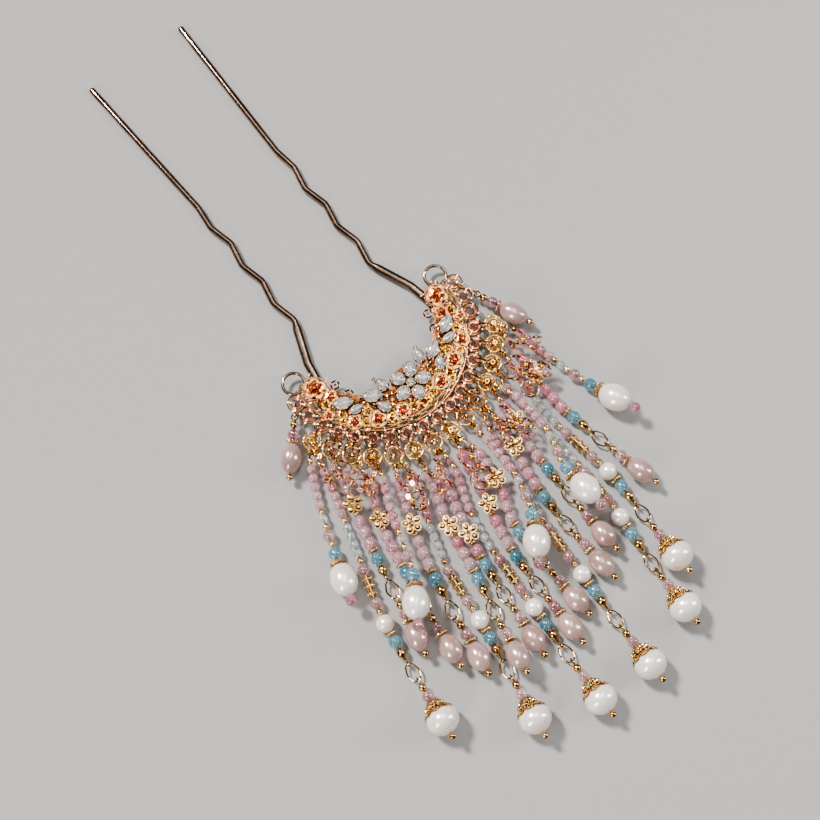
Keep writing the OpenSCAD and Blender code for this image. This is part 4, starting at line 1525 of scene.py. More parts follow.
@dataclass
class Hangers:
    """Jump rings and gold hangers, some with an openwork ball."""

    height: float = 2.6
    jump: Pair = (1.7, 0.25)
    side: Pair = (1.5, 0.2)
    reach: float = 4.7
    side_reach: float = 3.05
    ring: Pair = (2.05, 0.3)
    core: float = 0.9
    petal: Pair = (0.46, 0.12)
    wrap: Pair = (1.28, 0.17)
    bead: float = 0.85
    lug: float = 0.6
    rings: range = range(2, 16)
    openwork: tuple[int, ...] = (2, 5, 7, 9, 12, 13, 14, 15)
    # Tilt, count and first angle of each row of petals
    swirls: tuple[tuple[int, int, int], ...] = ((0, 1, 0), (50, 5, 0), (92, 7, 20), (134, 5, 36))

    def at(self, head: Crescent, i: int) -> Vector:
        """Middle of a hanger, on the resting surface."""
        return polar(head.border_r + self.reach, head.ring_angle(i))

    def openwork_ball(self) -> Shape:
        """Ball of swirled wire petals, with three spokes to its ring.

        Returns:
            The ball.
        """
        made = ball(self.core * 0.84, 14, 10)
        for tilt, count, start in self.swirls:
            for j in range(count):
                aim = turn(start + j * 360 / count) @ turn(tilt, "Y")
                place = aim @ shift(0, 0, self.core * 1.3)
                made.add(loop(*self.petal, 14, 6), place)
                made.add(ball(0.17, 6, 4), place)
        spoke = [Vector((0.6, 0, 0)), Vector((self.ring[0], 0, 0))]
        for j in range(3):
            made.add(sweep(spoke, 0.2, 0.17, 6, level=True), turn(120 * j))
        return made

    def bell(self) -> Shape:
        """Flared cap over the first bead of a string, with a small ball at each of its lobes.

        Returns:
            The cap.
        """
        r, z = self.lug, self.ring[0] - 0.1
        flare = ((0.7, 0.0), (1.1, 0.3), (0.8, 0.7), (1.3, 1.25), (1.15, 1.45))
        outline = [(0.0, z), *((r * share, z + down) for share, down in flare), (0.0, z + 1.35)]
        made = lathe(outline, 16)
        for j in range(5):
            made.add(ball(0.2, 6, 4), turn(72 * j) @ shift(r * 1.3, 0, z + 1.3))
        return made

    def hanger_ring(self) -> Shape:
        """Ring of a hanger with a row of grains on it.

        Returns:
            The ring.
        """
        made = loop(*self.ring, 30, 10)
        for k in range(20):
            made.add(ball(0.16, 6, 4), turn(18 * k) @ shift(self.ring[0], 0, self.ring[1] * 0.9))
        return made

    def wrapped_bead(self) -> Shape:
        """Bead in three wires.

        Returns:
            The bead.
        """
        made = ball(self.bead, 12, 8)
        for j in range(3):
            made.add(loop(*self.wrap, 20, 6), turn(60 * j) @ turn(90, "X"))
        return made

    def jump_rings(self, head: Crescent) -> list[Mesh]:
        """Jump rings, and a pair of side rings at each hanger with a wrapped bead.

        Args:
            head: The crescent that carries them.

        Returns:
            Their meshes.
        """
        jumps, sides = (list[Matrix]() for _ in range(2))
        for i in self.rings:
            a = head.ring_angle(i)
            spot = polar(head.border_r + self.jump[0] + 0.05, a)
            jumps.append(over(spot, self.height) @ turn(a) @ turn(90, "X"))
            if i not in self.openwork:
                for s in (-1, 1):
                    spot = polar(head.border_r + self.side_reach, a + 3.3 * s)
                    sides.append(over(spot, self.height) @ turn(a + 8 * s) @ turn(90, "X"))
        return [
            ROWS.lay("jump", loop(*self.jump, 26, 8), jumps, ROSE_GOLD, seed=7),
            ROWS.lay("side", loop(*self.side, 24, 6), sides, ROSE_GOLD, seed=17),
        ]

    def hangers(self, head: Crescent, courses: Sequence["Course"]) -> list[Mesh]:
        """Rings with their balls or beads, and a bell for each string.

        Args:
            head: The crescent that carries them.
            courses: The strings that hang from them.

        Returns:
            Their meshes.
        """
        rings, balls, beads, bells = (list[Matrix]() for _ in range(4))
        for i in self.rings:
            middle = self.at(head, i)
            at = over(middle, self.height)
            rings.append(at @ turn(head.ring_angle(i) + 180))
            (balls if i in self.openwork else beads).append(rings[-1])
            for course in courses:
                if course.ring == i:
                    aim = Vector((*course.way[0], 0)) - middle
                    bells.append(at @ turn(math.degrees(math.atan2(aim.y, aim.x))) @ turn(90, "Y"))
        return [
            ROWS.lay("hanger_ring", self.hanger_ring(), rings, YELLOW_GOLD, seed=8),
            ROWS.lay("openwork", self.openwork_ball(), balls, YELLOW_GOLD, seed=9),
            ROWS.lay("wrapped", self.wrapped_bead(), beads, CHAMPAGNE, seed=10),
            ROWS.lay("bell", self.bell(), bells, YELLOW_GOLD, seed=18),
        ]

    def build(self, head: Crescent, courses: Sequence["Course"]) -> None:
        """Builds and dresses jump rings and hangers for the strings."""
        piece("jump_ring_row", self.jump_rings(head), ["jump_rings"])
        piece("hangers", self.hangers(head, courses), ["cages"])


# Bead strings


@dataclass(frozen=True)
class Course:
    """One string: its kind, its border ring, its beads and its way over the resting surface."""

    name: str
    fall: Fall
    ring: int
    lead: float
    before: int
    after: int
    way: tuple[Pair, ...]
    run_lift: float = 0.0
    pearl_lift: float = 0.0


U, L, M = Fall.UPPER, Fall.LONG, Fall.MIDDLE
# Name, kind, border ring, bare lead, beads before and after the middle, way
COURSES = (
    Course("o1", U, 2, 2.0, 5, 0, ((-30, -17.5), (-34.8, -27), (-39.1, -38.5), (-41.1, -44.4))),
    Course(
        "o2", U, 5, 2.0, 6, 0,
        ((-19.5, -31.5), (-22.1, -37.1), (-24.9, -44.2), (-27.9, -53.1), (-31.8, -58.9)),
        run_lift=3.9, pearl_lift=3.9,
    ),
    Course(
        "o3", U, 10, 3.0, 5, 0,
        ((4.8, -39.8), (4.3, -51.4), (1.1, -61), (-2.6, -66.4)),
        run_lift=3.9, pearl_lift=3.9,
    ),
    Course(
        "o4", U, 12, 3.5, 5, 0,
        ((16.4, -33.2), (17.1, -42.9), (16.5, -49.7), (14.7, -55.1), (14.6, -62.8)),
        run_lift=3.9, pearl_lift=3.9,
    ),
    Course(
        "o5", U, 15, 2.4, 5, 0,
        ((28.2, -23.2), (29.8, -31.2), (31.4, -38.6), (32.8, -43.6), (35, -50.5)),
    ),
    Course(
        "r1", L, 2, 3.0, 6, 4,
        ((-28.6, -18.6), (-29.8, -25), (-32.7, -33.9), (-34.9, -41.5), (-40.1, -58.3), (-43.2, -81.7)),
    ),
    Course(
        "r2", L, 6, 3.0, 5, 4,
        ((-13.4, -37.2), (-17.4, -45.7), (-21.4, -58.5), (-23, -72.3), (-27.2, -94.8)),
    ),
    Course(
        "r3", L, 8, 4.5, 5, 4,
        ((-4.7, -40), (-7.8, -48), (-9.8, -56.4), (-10.6, -65.1), (-11.5, -77.4), (-13.2, -101)),
    ),
    Course("r4", L, 11, 4.6, 6, 4, ((7, -40), (4.8, -53), (2.9, -66), (2, -78), (1.2, -91), (0.4, -103))),
    Course(
        "r5", L, 13, 2.2, 7, 4,
        ((17.2, -32.7), (17.8, -41), (18.2, -48.3), (18.2, -55.7), (18.1, -67.7), (17.5, -73.3), (15, -98.1)),
    ),
    Course(
        "r6", L, 14, 2.2, 4, 4,
        ((21.9, -28.5), (20.7, -38.9), (20.7, -46.3), (21.7, -56), (22.6, -66), (22.3, -76), (21.4, -87.5)),
    ),
    Course("m1", M, 3, 2.0, 2, 3, ((-25.9, -23.8), (-29.1, -33.2), (-32.3, -46), (-36.5, -65.8))),
    Course("m2", M, 4, 2.0, 3, 3, ((-22.3, -30.2), (-26.2, -38.9), (-29, -51.6), (-32.1, -72.1))),
    Course("m3", M, 6, 2.0, 3, 3, ((-17.4, -35.3), (-20.8, -43.6), (-24.6, -56.5), (-28.2, -77.1))),
    Course(
        "m4", M, 7, 2.0, 4, 3,
        ((-11, -39.4), (-14.4, -48.7), (-17, -62.5), (-21.5, -82.5)),
        pearl_lift=2.2,
    ),
    Course("m5", M, 8, 2.6, 5, 1, ((-7.8, -39.8), (-11.1, -49.6), (-13.7, -61.8), (-16.1, -82.3))),
    Course("m6", M, 9, 1.8, 4, 3, ((-1.6, -40.3), (-3.9, -50), (-6.9, -63.7), (-7.8, -84.6))),
    Course("m7", M, 9, 3.8, 2, 3, ((2, -41), (0.3, -51), (-2.9, -61), (-2.8, -81.1))),
    Course("m8", M, 11, 2.2, 2, 3, ((10.4, -38.9), (8.9, -45.8), (7, -58.4), (7.1, -78.5))),
    Course("m9", M, 12, 2.2, 1, 3, ((13.8, -37.3), (12.6, -44.7), (12, -53.4), (11.8, -73.6))),
    Course(
        "m10", M, 15, 4.0, 2, 3,
        ((25.2, -25), (24.3, -35.7), (24.2, -43.7), (24.8, -47.8), (28.4, -67.9)),
    ),
)


@dataclass
class Beads:
    """Sizes of everything that is strung, as diameters and lengths."""

    thread: float = 0.25
    pink: Pair = (2.3, 2.15)
    rose: Pair = (3.0, 2.85)
    pale: Pair = (2.2, 2.15)
    gold: Pair = (1.5, 1.5)
    chip: Pair = (1.7, 1.4)
    disc: Pair = (2.2, 0.8)
    crystal: Pair = (2.9, 2.75)
    blue: Pair = (3.2, 3.2)
    small: Pair = (4.3, 4.4)
    barrel: Pair = (2.6, 5.5)
    charm: Pair = (2.3, 2.4)
    clamp: Pair = (2.4, 4.1)
    link: Pair = (3.0, 4.4)
    link_wire: float = 0.21
    loop_r: float = 0.75
    eye_len: float = 2.8
    stem: float = 0.27
    cap_bead: float = 2.0
    end_ball: float = 1.7
    cup_len: float = 1.5
    mauve: Pair = (5.2, 7.2)
    round: Pair = (7.6, 6.9)
    oval: Pair = (6.4, 8.4)
    horn: Pair = (4.9, 7.4)

    @property
    def collar(self) -> float:
        """Distance from the start of a drop to its collar or cup."""
        return self.crystal[1] + self.eye_len

    def pearl_start(self, kind: str) -> float:
        """Distance from the start of a drop to its pearl.

        Args:
            kind: Which pearl.

        Returns:
            The distance.
        """
        if kind == "oval":
            return 1.0
        return self.eye_len + self.crystal[1] + (self.cup_len if kind == "round" else self.disc[1])

    def drop_len(self, kind: str) -> float:
        """Length of a whole drop."""
        end = self.crystal[0] if kind == "oval" else self.end_ball - 0.2
        return self.pearl_start(kind) + getattr(self, kind)[1] + end

    def cut_crystal(self) -> Shape:
        """Faceted crystal of the drops and strings."""
        return cut_bead(self.crystal[0], self.crystal[1] - 2 * INSET, 8, 5)


def lookup(x: float, table: Sequence[Pair]) -> float:
    """Reads a table of pairs.

    Args:
        x: Where to read it.
        table: Pairs of place and value.

    Returns:
        The value on the line through the pairs, level past its ends.
    """
    table = sorted(table)
    if x <= table[0][0]:
        return table[0][1]
    for (a, u), (b, v) in zip(table, table[1:]):
        if x <= b:
            return v if b == a else u + (v - u) * (x - a) / (b - a)
    return table[-1][1]


class BeadString:
    """One bead string in its place: thread, beads, fittings and pearl."""

    def __init__(self, course: Course, sizes: Beads, hangers: Hangers, head: Crescent) -> None:
        """Works out where every piece of the string lies.

        Args:
            course: What is strung and which way it goes.
            sizes: Sizes of the beads.
            hangers: The hangers it starts from.
            head: The crescent that carries them.
        """
        self.course = course
        self.b = sizes
        self.start = hangers.at(head, course.ring)
        self.high = hangers.height
        self.row = self.make_row()
        self.kind = self.row[-1][0]
        self.placed = self.place()

    def make_row(self) -> list[tuple[str, float]]:
        """Lists what is strung.

        Returns:
            Pieces from the hanger down, with their lengths.
        """
        c = self.course
        tail = ["disc", "blue", "clamp", "link"]
        if c.fall is Fall.MIDDLE:
            names = ["rose"] * c.before + ["gold", "charm", "gold"] + ["rose"] * c.after + tail
            last = "mauve"
        elif c.fall is Fall.LONG:
            names = ["pink"] * c.before + ["gold"] + ["pale"] * c.after
            names += ["gold", "crystal", "barrel", "crystal", "gold", "small", *tail]
            last = "round"
        else:
            names = ["pink"] * c.before + ["gold", "pale", "gold", "crystal", "gold", "blue"]
            last = "oval"
        row = [(name, getattr(self.b, name)[1]) for name in names]
        return [("socket", 1.0), ("lead", c.lead), *row, (last, self.b.drop_len(last))]

    def line(self) -> list[Vector]:
        """Draws a smooth line through the points of the string's way.

        Returns:
            Points on the resting surface.
        """
        way = [Vector((x, y, 0.0)) for x, y in self.course.way]
        ahead = 20 * unit(way[-1] - way[-2])
        p = [self.start + 2.6 * unit(way[0] - self.start), *way, way[-1] + ahead]
        made = []
        for i in range(len(p) - 1):
            a, b, c, d = p[max(i - 1, 0)], p[i], p[i + 1], p[min(i + 2, len(p) - 1)]
            for j in range(STEPS):
                t = j / STEPS
                square, cube = 2 * a - 5 * b + 4 * c - d, 3 * b - a - 3 * c + d
                made.append(0.5 * (2 * b + (c - a) * t + square * t * t + cube * t**3))
        return made + [p[-1]]

    def heights(self, ends: Sequence[float]) -> list[Pair]:
        """Height of the string along its length.

        Args:
            ends: Distance of the start of each piece.

        Returns:
            Pairs of distance and height.
        """
        b, c, row, kind = self.b, self.course, self.row, self.kind
        small, blue = b.small[0] / 2, b.blue[0] / 2
        gap = 0.15
        run = b.crystal[0] / 2 + gap + c.run_lift
        chain = b.loop_r + b.link_wire + 0.5
        last = len(row) - 1
        first = blue + gap + c.run_lift if kind == "oval" else chain
        wide, long = getattr(b, kind)
        table = [(0.0, self.high), (1.0, self.high), (max(ends[2], 4.5), run)]
        for i in range(2, last):
            k, low, high = row[i][0], ends[i], ends[i + 1]
            if k == "small":
                table += [(low - 6, run), (low, small + gap), (high, small + gap)]
            elif k == "blue" and kind == "round":
                table += [(low, small + 0.05), (high, small - 0.3)]
            elif k == "blue" and kind == "mauve":
                table += [(low, blue + 0.2), (high, blue + gap)]
            elif k == "blue":
                table.append((low, first))
            elif k == "link":
                table.append((low, chain))
        middle = b.pearl_start(kind) + long / 2
        top = wide / 2 + 0.2 + c.pearl_lift
        end = first + (top - first) * row[last][1] / middle
        return table + [(ends[last], first), (ends[last + 1], end)]

    def place(self) -> list[tuple[str, Vector, Vector, float]]:
        """Lays the pieces along the way.

        Returns:
            Kind, start, end and length of every piece.
        """
        line = self.line()
        lengths = [0.0]
        for p, q in zip(line, line[1:]):
            lengths.append(lengths[-1] + (q - p).length)
        ends = [0.0]
        for _, long in self.row:
            ends.append(ends[-1] + long)
        tables = [
            list(zip(lengths, [p.x for p in line])),
            list(zip(lengths, [p.y for p in line])),
            self.heights(ends),
        ]
        spots = [Vector([lookup(s, table) for table in tables]) for s in ends]
        return [(k, spots[i], spots[i + 1], n) for i, (k, n) in enumerate(self.row)]

    def spots(self, kind: str) -> list[Matrix]:
        """Places at the middles of all pieces of a kind."""
        return [on_line(p, q) @ shift(0, 0, n / 2) for k, p, q, n in self.placed if k == kind]

    def starts(self, kind: str) -> list[Matrix]:
        """Places at the starts of all pieces of a kind."""
        return [on_line(p, q) for k, p, q, _ in self.placed if k == kind]

    def lead_spots(self) -> list[Matrix]:
        """Finds places for the small beads that fill the bare lead.

        Returns:
            Places from its lower end up.
        """
        _, p, q, n = self.placed[1]
        pitch, first = 1.4, 0.72
        count = int((n + 0.35) / pitch)
        return [on_line(p, q) @ shift(0, 0, n - first - pitch * k) for k in range(count)]

    def thread_path(self) -> list[Vector]:
        """Way of the bare thread.

        Returns:
            Its points, from the hanger to where it is hidden.
        """
        drops = ("link", "mauve", "round")
        tail = next(q for k, _, q, _ in reversed(self.placed) if k not in (*drops, "oval"))
        path = [p for k, p, _, _ in self.placed if k not in drops and (p - tail).length > 0.4]
        return path + [tail if self.kind == "oval" else path[-1].lerp(tail, 0.35)]

    def beads(self, seed: int) -> list[Mesh]:
        """Small beads on their thread.

        Args:
            seed: Seed of their tones.

        Returns:
            Their meshes.
        """
        glass = []
        cuts = (("pink", ROSE_GLASS, 9, 6), ("rose", ROSE_GLASS, 10, 7), ("pale", PALE_GLASS, 9, 6))
        for kind, finish, sides, rows in cuts:
            (wide, long), spots = getattr(self.b, kind), self.spots(kind)
            if spots:
                bead = cut_bead(wide, long * 0.98, sides, rows)
                glass.append(ROWS.lay(kind, bead, spots, finish, seed))
        glass.append(WIRE.draw("thread", [self.thread_path()], self.b.thread, CHAMPAGNE))
        lead = self.lead_spots()
        gold, chips = self.spots("gold") + lead[::2], lead[1::2]
        glass.append(ROWS.lay("gold", cut_bead(*self.b.gold, 8, 5), gold, CHAMPAGNE, seed))
        if chips:
            glass.append(ROWS.lay("chip", cut_bead(*self.b.chip, 7, 4), chips, LILAC_CRYSTAL, seed))
        return glass

    def fittings(self, seed: int) -> list[Mesh]:
        """Larger beads, pearls and metal of the string.

        Args:
            seed: Seed of their tones.

        Returns:
            Their meshes.
        """
        b, kind, maker = self.b, self.kind, Findings(self.b)
        start = self.starts(kind)[0]
        blue = cut_bead(b.blue[0] - 2 * INSET + 0.1, b.blue[1] - 2 * INSET, 12, 8)
        made = [ROWS.lay("blue", blue, self.spots("blue"), AQUA_GLASS, seed)]
        crystals = self.spots("crystal")
        if kind != "oval":
            crystals.append(start @ shift(0, 0, b.eye_len + b.crystal[1] / 2))
        else:
            end = b.pearl_start("oval") + b.oval[1] + INSET
            wide, long = 2.8, b.crystal[0] * 0.85
            place = start @ shift(0, 0, end + long / 2)
            made.append(Shape().add(cut_bead(wide, long, 8, 5), place).mesh("tip", LILAC_CRYSTAL))
        made.append(ROWS.lay("crystal", b.cut_crystal(), crystals, LILAC_CRYSTAL, seed))
        pearls = Shape().add(maker.pearl(kind), start @ shift(0, 0, b.pearl_start(kind)))
        for place in self.starts("small"):
            pearls.add(maker.pearl("small"), place)
        made.append(pearls.mesh("pearls", MAUVE_NACRE if kind == "mauve" else WHITE_NACRE))
        metal, grains = Shape(), []
        for k, p, q, _ in self.placed:
            metal.add(maker.make(k), on_line(p, q))
            grains += [on_line(p, q) @ g for g in maker.grains(k)]
        made.append(metal.mesh("metal", CHAMPAGNE))
        return made + [ROWS.lay("grain", ball(1.0, 8, 6), grains, CHAMPAGNE, seed)]

    def build(self) -> None:
        """Builds and dresses the string."""
        name, seed = self.course.name, 11 + COURSES.index(self.course)
        piece(f"beads_{name}", self.beads(seed), [f"thread_{name}"])
        piece(f"fittings_{name}", self.fittings(seed), [f"strand_{name}"])


@dataclass
class Findings:
    """Maker of the metal fittings and pearls, each from the start of its stretch upward."""

    b: Beads
    # Count, radius, size and height of the grains in each tier of a round pearl's cup
    tiers: Table = (
        (8, 1.1, 0.4, 0.25),
        (11, 1.62, 0.44, 0.8),
        (14, 2.15, 0.5, 1.42),
    )

    def pearl(self, kind: str) -> Shape:
        """A pearl that is a little uneven, as grown ones are.

        Args:
            kind: Which pearl.

        Returns:
            The pearl.
        """
        wide, long = getattr(self.b, kind)
        half = long / 2 - INSET
        rows, sides = 22, 32
        turns = [math.pi * i / rows for i in range(rows + 1)]
        made = lathe([(wide / 2 * math.sin(t), -half * math.cos(t)) for t in turns], sides)
        for p in made.points:
            a, t = math.atan2(p.y, p.x), p.z / half
            swell = 1 - 0.008 - 0.008 * math.cos(2 * a + 1.3) * (1 - t * t)
            if kind in ("oval", "small"):
                swell += 0.006 * math.cos(9 * t + 0.7 * math.sin(a))
            p.x, p.y = p.x * swell, p.y * swell
            p.z += half + INSET
        return made

    def ring_of(self, count: int, radius: float, size: float, height: float) -> list[Matrix]:
        """Places of a ring of metal grains."""
        turns = [turn(j * 360 / count) for j in range(count)]
        return [t @ shift(radius, 0, height) @ grow(size) for t in turns]

    def grains(self, kind: str) -> list[Matrix]:
        """Places of the metal grains of a piece.

        Args:
            kind: Which piece.

        Returns:
            Place and size of each grain.
        """
        b = self.b
        stack = b.barrel[1] - 2 * INSET
        rings = {
            "disc": [(9, 1.05, 0.36, b.disc[1] / 2)],
            "barrel": [(9, 0.98, 0.38, INSET + stack * k / 6) for k in (1, 3, 5)],
            "mauve": [(10, 1.25, 0.36, b.collar + 0.4)],
            "round": [(n, r, size, b.collar + z) for n, r, size, z in self.tiers],
            "oval": [(10, 1.0, 0.26, 0.4)],
            "charm": [(5, 0.62, 0.2, -0.1)],
        }
        made = [m for ring in rings.get(kind, ()) for m in self.ring_of(*ring)]
        if kind != "charm":
            return made
        up = b.rose[0] / 2 + 0.5
        lay = shift(-up - 0.2, 0, b.charm[1] / 2) @ turn(90, "Y")
        return [lay @ m for m in [*made, grow(0.4)]]

    def make(self, kind: str) -> Shape:
        """Metal of one piece.

        Args:
            kind: Which piece.

        Returns:
            Its metal, or nothing.
        """
        makers = {
            "disc": self.disc,
            "barrel": self.barrel,
            "charm": self.charm,
            "clamp": self.clamp,
            "link": self.long_link,
            "oval": self.lace_cap,
        }
        if kind in ("mauve", "round"):
            return self.head_pin(kind)
        return makers.get(kind, Shape)()

    def disc(self) -> Shape:
        """Core of a beaded spacer."""
        h = self.b.disc[1]
        return lathe([(0.5, 0.05), (0.95, 0.15), (1.0, h / 2), (0.95, h - 0.15), (0.5, h - 0.05)], 18)

    def barrel(self) -> Shape:
        """Core of a stack of beaded spacers."""
        low, high = INSET, self.b.barrel[1] - INSET
        return lathe([(0.5, low), (0.9, low + 0.1), (0.9, high - 0.1), (0.5, high)], 18)

    def charm(self) -> Shape:
        """Bead with a flower of five domed petals standing over it.

        Returns:
            The charm.
        """
        b = self.b
        mid, up = b.charm[1] / 2, b.rose[0] / 2 + 0.2
        made = Shape().add(cut_bead(b.charm[0], b.charm[0], 10, 6), shift(0, 0, mid))
        lay = shift(-up - 0.25, 0, mid) @ turn(90, "Y")
        turns = [math.tau * k / 16 for k in range(16)]
        rim = [Vector((0.9 * math.cos(t), 0.72 * math.sin(t), -0.16)) for t in turns]
        for j in range(5):
            place = lay @ turn(72 * j) @ shift(1.5, 0)
            made.add(ball(1.0, 14, 8), place @ Matrix.Diagonal((0.92, 0.72, 0.26, 1.0)))
            made.add(sweep(rim, 0.13, None, 6, closed=True, level=True), place)
        made.add(ball(0.62, 14, 8, 0.5), lay)
        return made.add(sweep([Vector((-up, 0, mid)), Vector((-0.9, 0, mid))], 0.4, None, 8))

    def wire_loop(self) -> Shape:
        """Level loop at the end of a fitting."""
        return loop(self.b.loop_r, self.b.link_wire, 20, 8)

    def clamp(self) -> Shape:
        """Ridged teardrop that hides the knot, and its loop.

        Returns:
            The clamp.
        """
        r, neck = self.b.clamp[0] / 2, self.b.clamp[1] - self.b.loop_r
        drop = [(0.3, 0.1), (0.75, 0.25), (r * 0.97, 0.8), (r, 1.3), (r * 0.86, 1.95)]
        made = lathe([*drop, (0.6, 2.5), (0.36, 2.9), (0.3, neck + 0.1)], 20)
        for p in made.points:
            ridge = 0.5 + 0.5 * math.cos(5 * math.atan2(p.y, p.x))
            swell = 1 - 0.07 * ridge * (0.1 < p.z < 2.6)
            p.x, p.y = p.x * swell, p.y * swell
        return made.add(self.wire_loop(), shift(0, 0, self.b.clamp[1]) @ turn(90, "X"))

    def long_link(self) -> Shape:
        """Long link of thin wire, bent to six soft corners.

        Returns:
            The link.
        """
        wide, long = self.b.link
        plan = []
        for k in range(36):
            t = math.tau * k / 36
            pinch = 0.92 - 0.05 * math.cos(6 * t)
            plan.append(Vector((wide / 2 * math.sin(t) * pinch, 0, long / 2 - long / 2 * math.cos(t))))
        return Shape().add(sweep(plan, self.b.link_wire, None, 8, closed=True), turn(90))

    def head_pin(self, kind: str, flat: bool = False) -> Shape:
        """Head pin with its loop, gold bead, collar or petal cap, and end ball.

        Args:
            kind: Which pearl it holds.
            flat: Whether its loop lies flat.

        Returns:
            Its metal.
        """
        b = self.b
        start, collar = b.pearl_start(kind), b.collar
        stop = start + getattr(b, kind)[1]
        made = Shape().add(self.wire_loop(), turn(90 if flat else 0) @ turn(90, "X"))
        made.add(lathe([(b.stem, b.loop_r), (b.stem, collar + 0.4)], 8))
        bead = cut_bead(b.cap_bead, b.cap_bead * 0.9, 9, 6)
        made.add(bead, shift(0, 0, b.eye_len - b.cap_bead / 2 + 0.02))
        made.add(ball(b.end_ball / 2, 16, 10), shift(0, 0, stop + b.end_ball / 2 - 0.1))
        if kind == "round":
            cup = ((0.4, 0.05), (1.0, 0.1), (1.5, 0.6), (2.05, 1.05), (2.1, 1.3), (1.2, 1.45))
            made.add(lathe([(r, collar + z) for r, z in cup], 20))
            return made.add(self.petal_cap(start, *getattr(b, kind)))
        disc = ((0.5, 0.1), (1.1, 0.15), (1.2, 0.6), (0.7, 0.72))
        return made.add(lathe([(r, collar + z) for r, z in disc], 18))

    def petal_cap(self, start: float, wide: float, long: float, count: int = 8) -> Shape:
        """Cap of petals that hugs the top of a round pearl.

        Args:
            start: Distance of the pearl's top.
            wide: Diameter of the pearl.
            long: Length of the pearl.
            count: Number of petals.

        Returns:
            The cap.
        """
        hub, edge = start + long / 2, math.radians(46)
        thick, skin, wire, grain = 0.26, 0.14, 0.19, 0.26

        def on_skin(out: float, around: float, proud: float = 0.08) -> Vector:
            """Point just over the pearl's skin, by its angles from the top and around it."""
            r, z = (wide / 2 + proud) * math.sin(out), hub - (long / 2 + proud) * math.cos(out)
            return Vector((r * math.cos(around), r * math.sin(around), z))

        inside = [on_skin(edge * k / 4, 0.0) for k in range(5)]
        outside = [on_skin(edge * k / 4, 0.0, thick) for k in range(4, -1, -1)]
        made = lathe([(p.x, p.z) for p in [*reversed(outside), *inside[:0:-1]]], 32)
        for j in range(count):
            mid = math.tau * j / count
            rim = []
            for k in range(11):
                t = math.pi * k / 10
                out = edge * (0.97 + 0.32 * math.sin(t))
                rim.append(on_skin(out, mid - math.pi / count * math.cos(t), skin))
            made.add(sweep(rim, wire, None, 8))
            made.add(ball(grain, 8, 6), over(on_skin(edge * 1.06, mid, skin)))
        return made

    def lace_cap(self) -> Shape:
        """Flat flower cap with a scalloped lace edge at the top of an oval pearl.

        Returns:
            The cap.
        """
        dish = [(0.4, INSET), (0.95, INSET + 0.05), (1.15, 0.4), (1.5, 0.62), (1.5, 0.8), (0.6, 0.84)]
        made = lathe(dish, 28)
        for j in range(10):
            a = 36 * j
            made.add(loop(0.34, 0.12, 12, 6), turn(a) @ shift(1.62, 0, 0.86) @ turn(32, "Y"))
            made.add(ball(0.15, 8, 4), turn(a + 18) @ shift(1.9, 0, 0.98))
        return made


@dataclass
class HornDrop:
    """Pearl drop on an upright link at one horn of the crescent."""

    name: str
    ring: int
    aim: Pair
    bow_r: float = 1.1
    sizes: Beads = field(default_factory=Beads)

    def build(self, head: Crescent, hangers: Hangers) -> None:
        """Builds and dresses the drop.

        Args:
            head: The crescent whose border ring carries it.
            hangers: The hangers, which lie at the same height.
        """
        b, maker, half = self.sizes, Findings(self.sizes), self.bow_r
        c = polar(head.border_r, head.ring_angle(self.ring))
        aim = Vector((*self.aim, 0.0))
        long = (aim - c).length - b.pearl_start("horn") - b.horn[1] / 2
        up = above(hangers.height)
        p, q = c + up, c + unit(aim - c) * long + up
        turns = [math.radians(-90 + 20 * k) for k in range(10)]
        bow = [Vector((-half * math.sin(t), 0, half - half * math.cos(t))) for t in turns]
        plan = bow + [Vector((-v.x, 0, long - v.z)) for v in bow]
        metal = Shape().add(sweep(plan, b.link_wire, None, 8, closed=True), on_line(p, q))
        drop = on_line(q, q + (q - p))
        metal.add(maker.head_pin("horn", True), drop)
        grains = [drop @ m for m in maker.ring_of(10, 1.25, 0.34, b.collar + 0.4)]
        pearl = Shape().add(maker.pearl("horn"), drop @ shift(0, 0, b.pearl_start("horn")))
        crystal = Shape().add(b.cut_crystal(), drop @ shift(0, 0, b.eye_len + b.crystal[1] / 2))
        parts = [
            pearl.mesh("pearl", MAUVE_NACRE),
            crystal.mesh("crystal", LILAC_CRYSTAL),
            metal.mesh("metal", CHAMPAGNE),
            ROWS.lay("grain", ball(1.0, 8, 6), grains, CHAMPAGNE, seed=31 + self.ring),
        ]
        piece(self.name + "_dressed", parts, [self.name])


# Loose trinkets among the tops of the strings


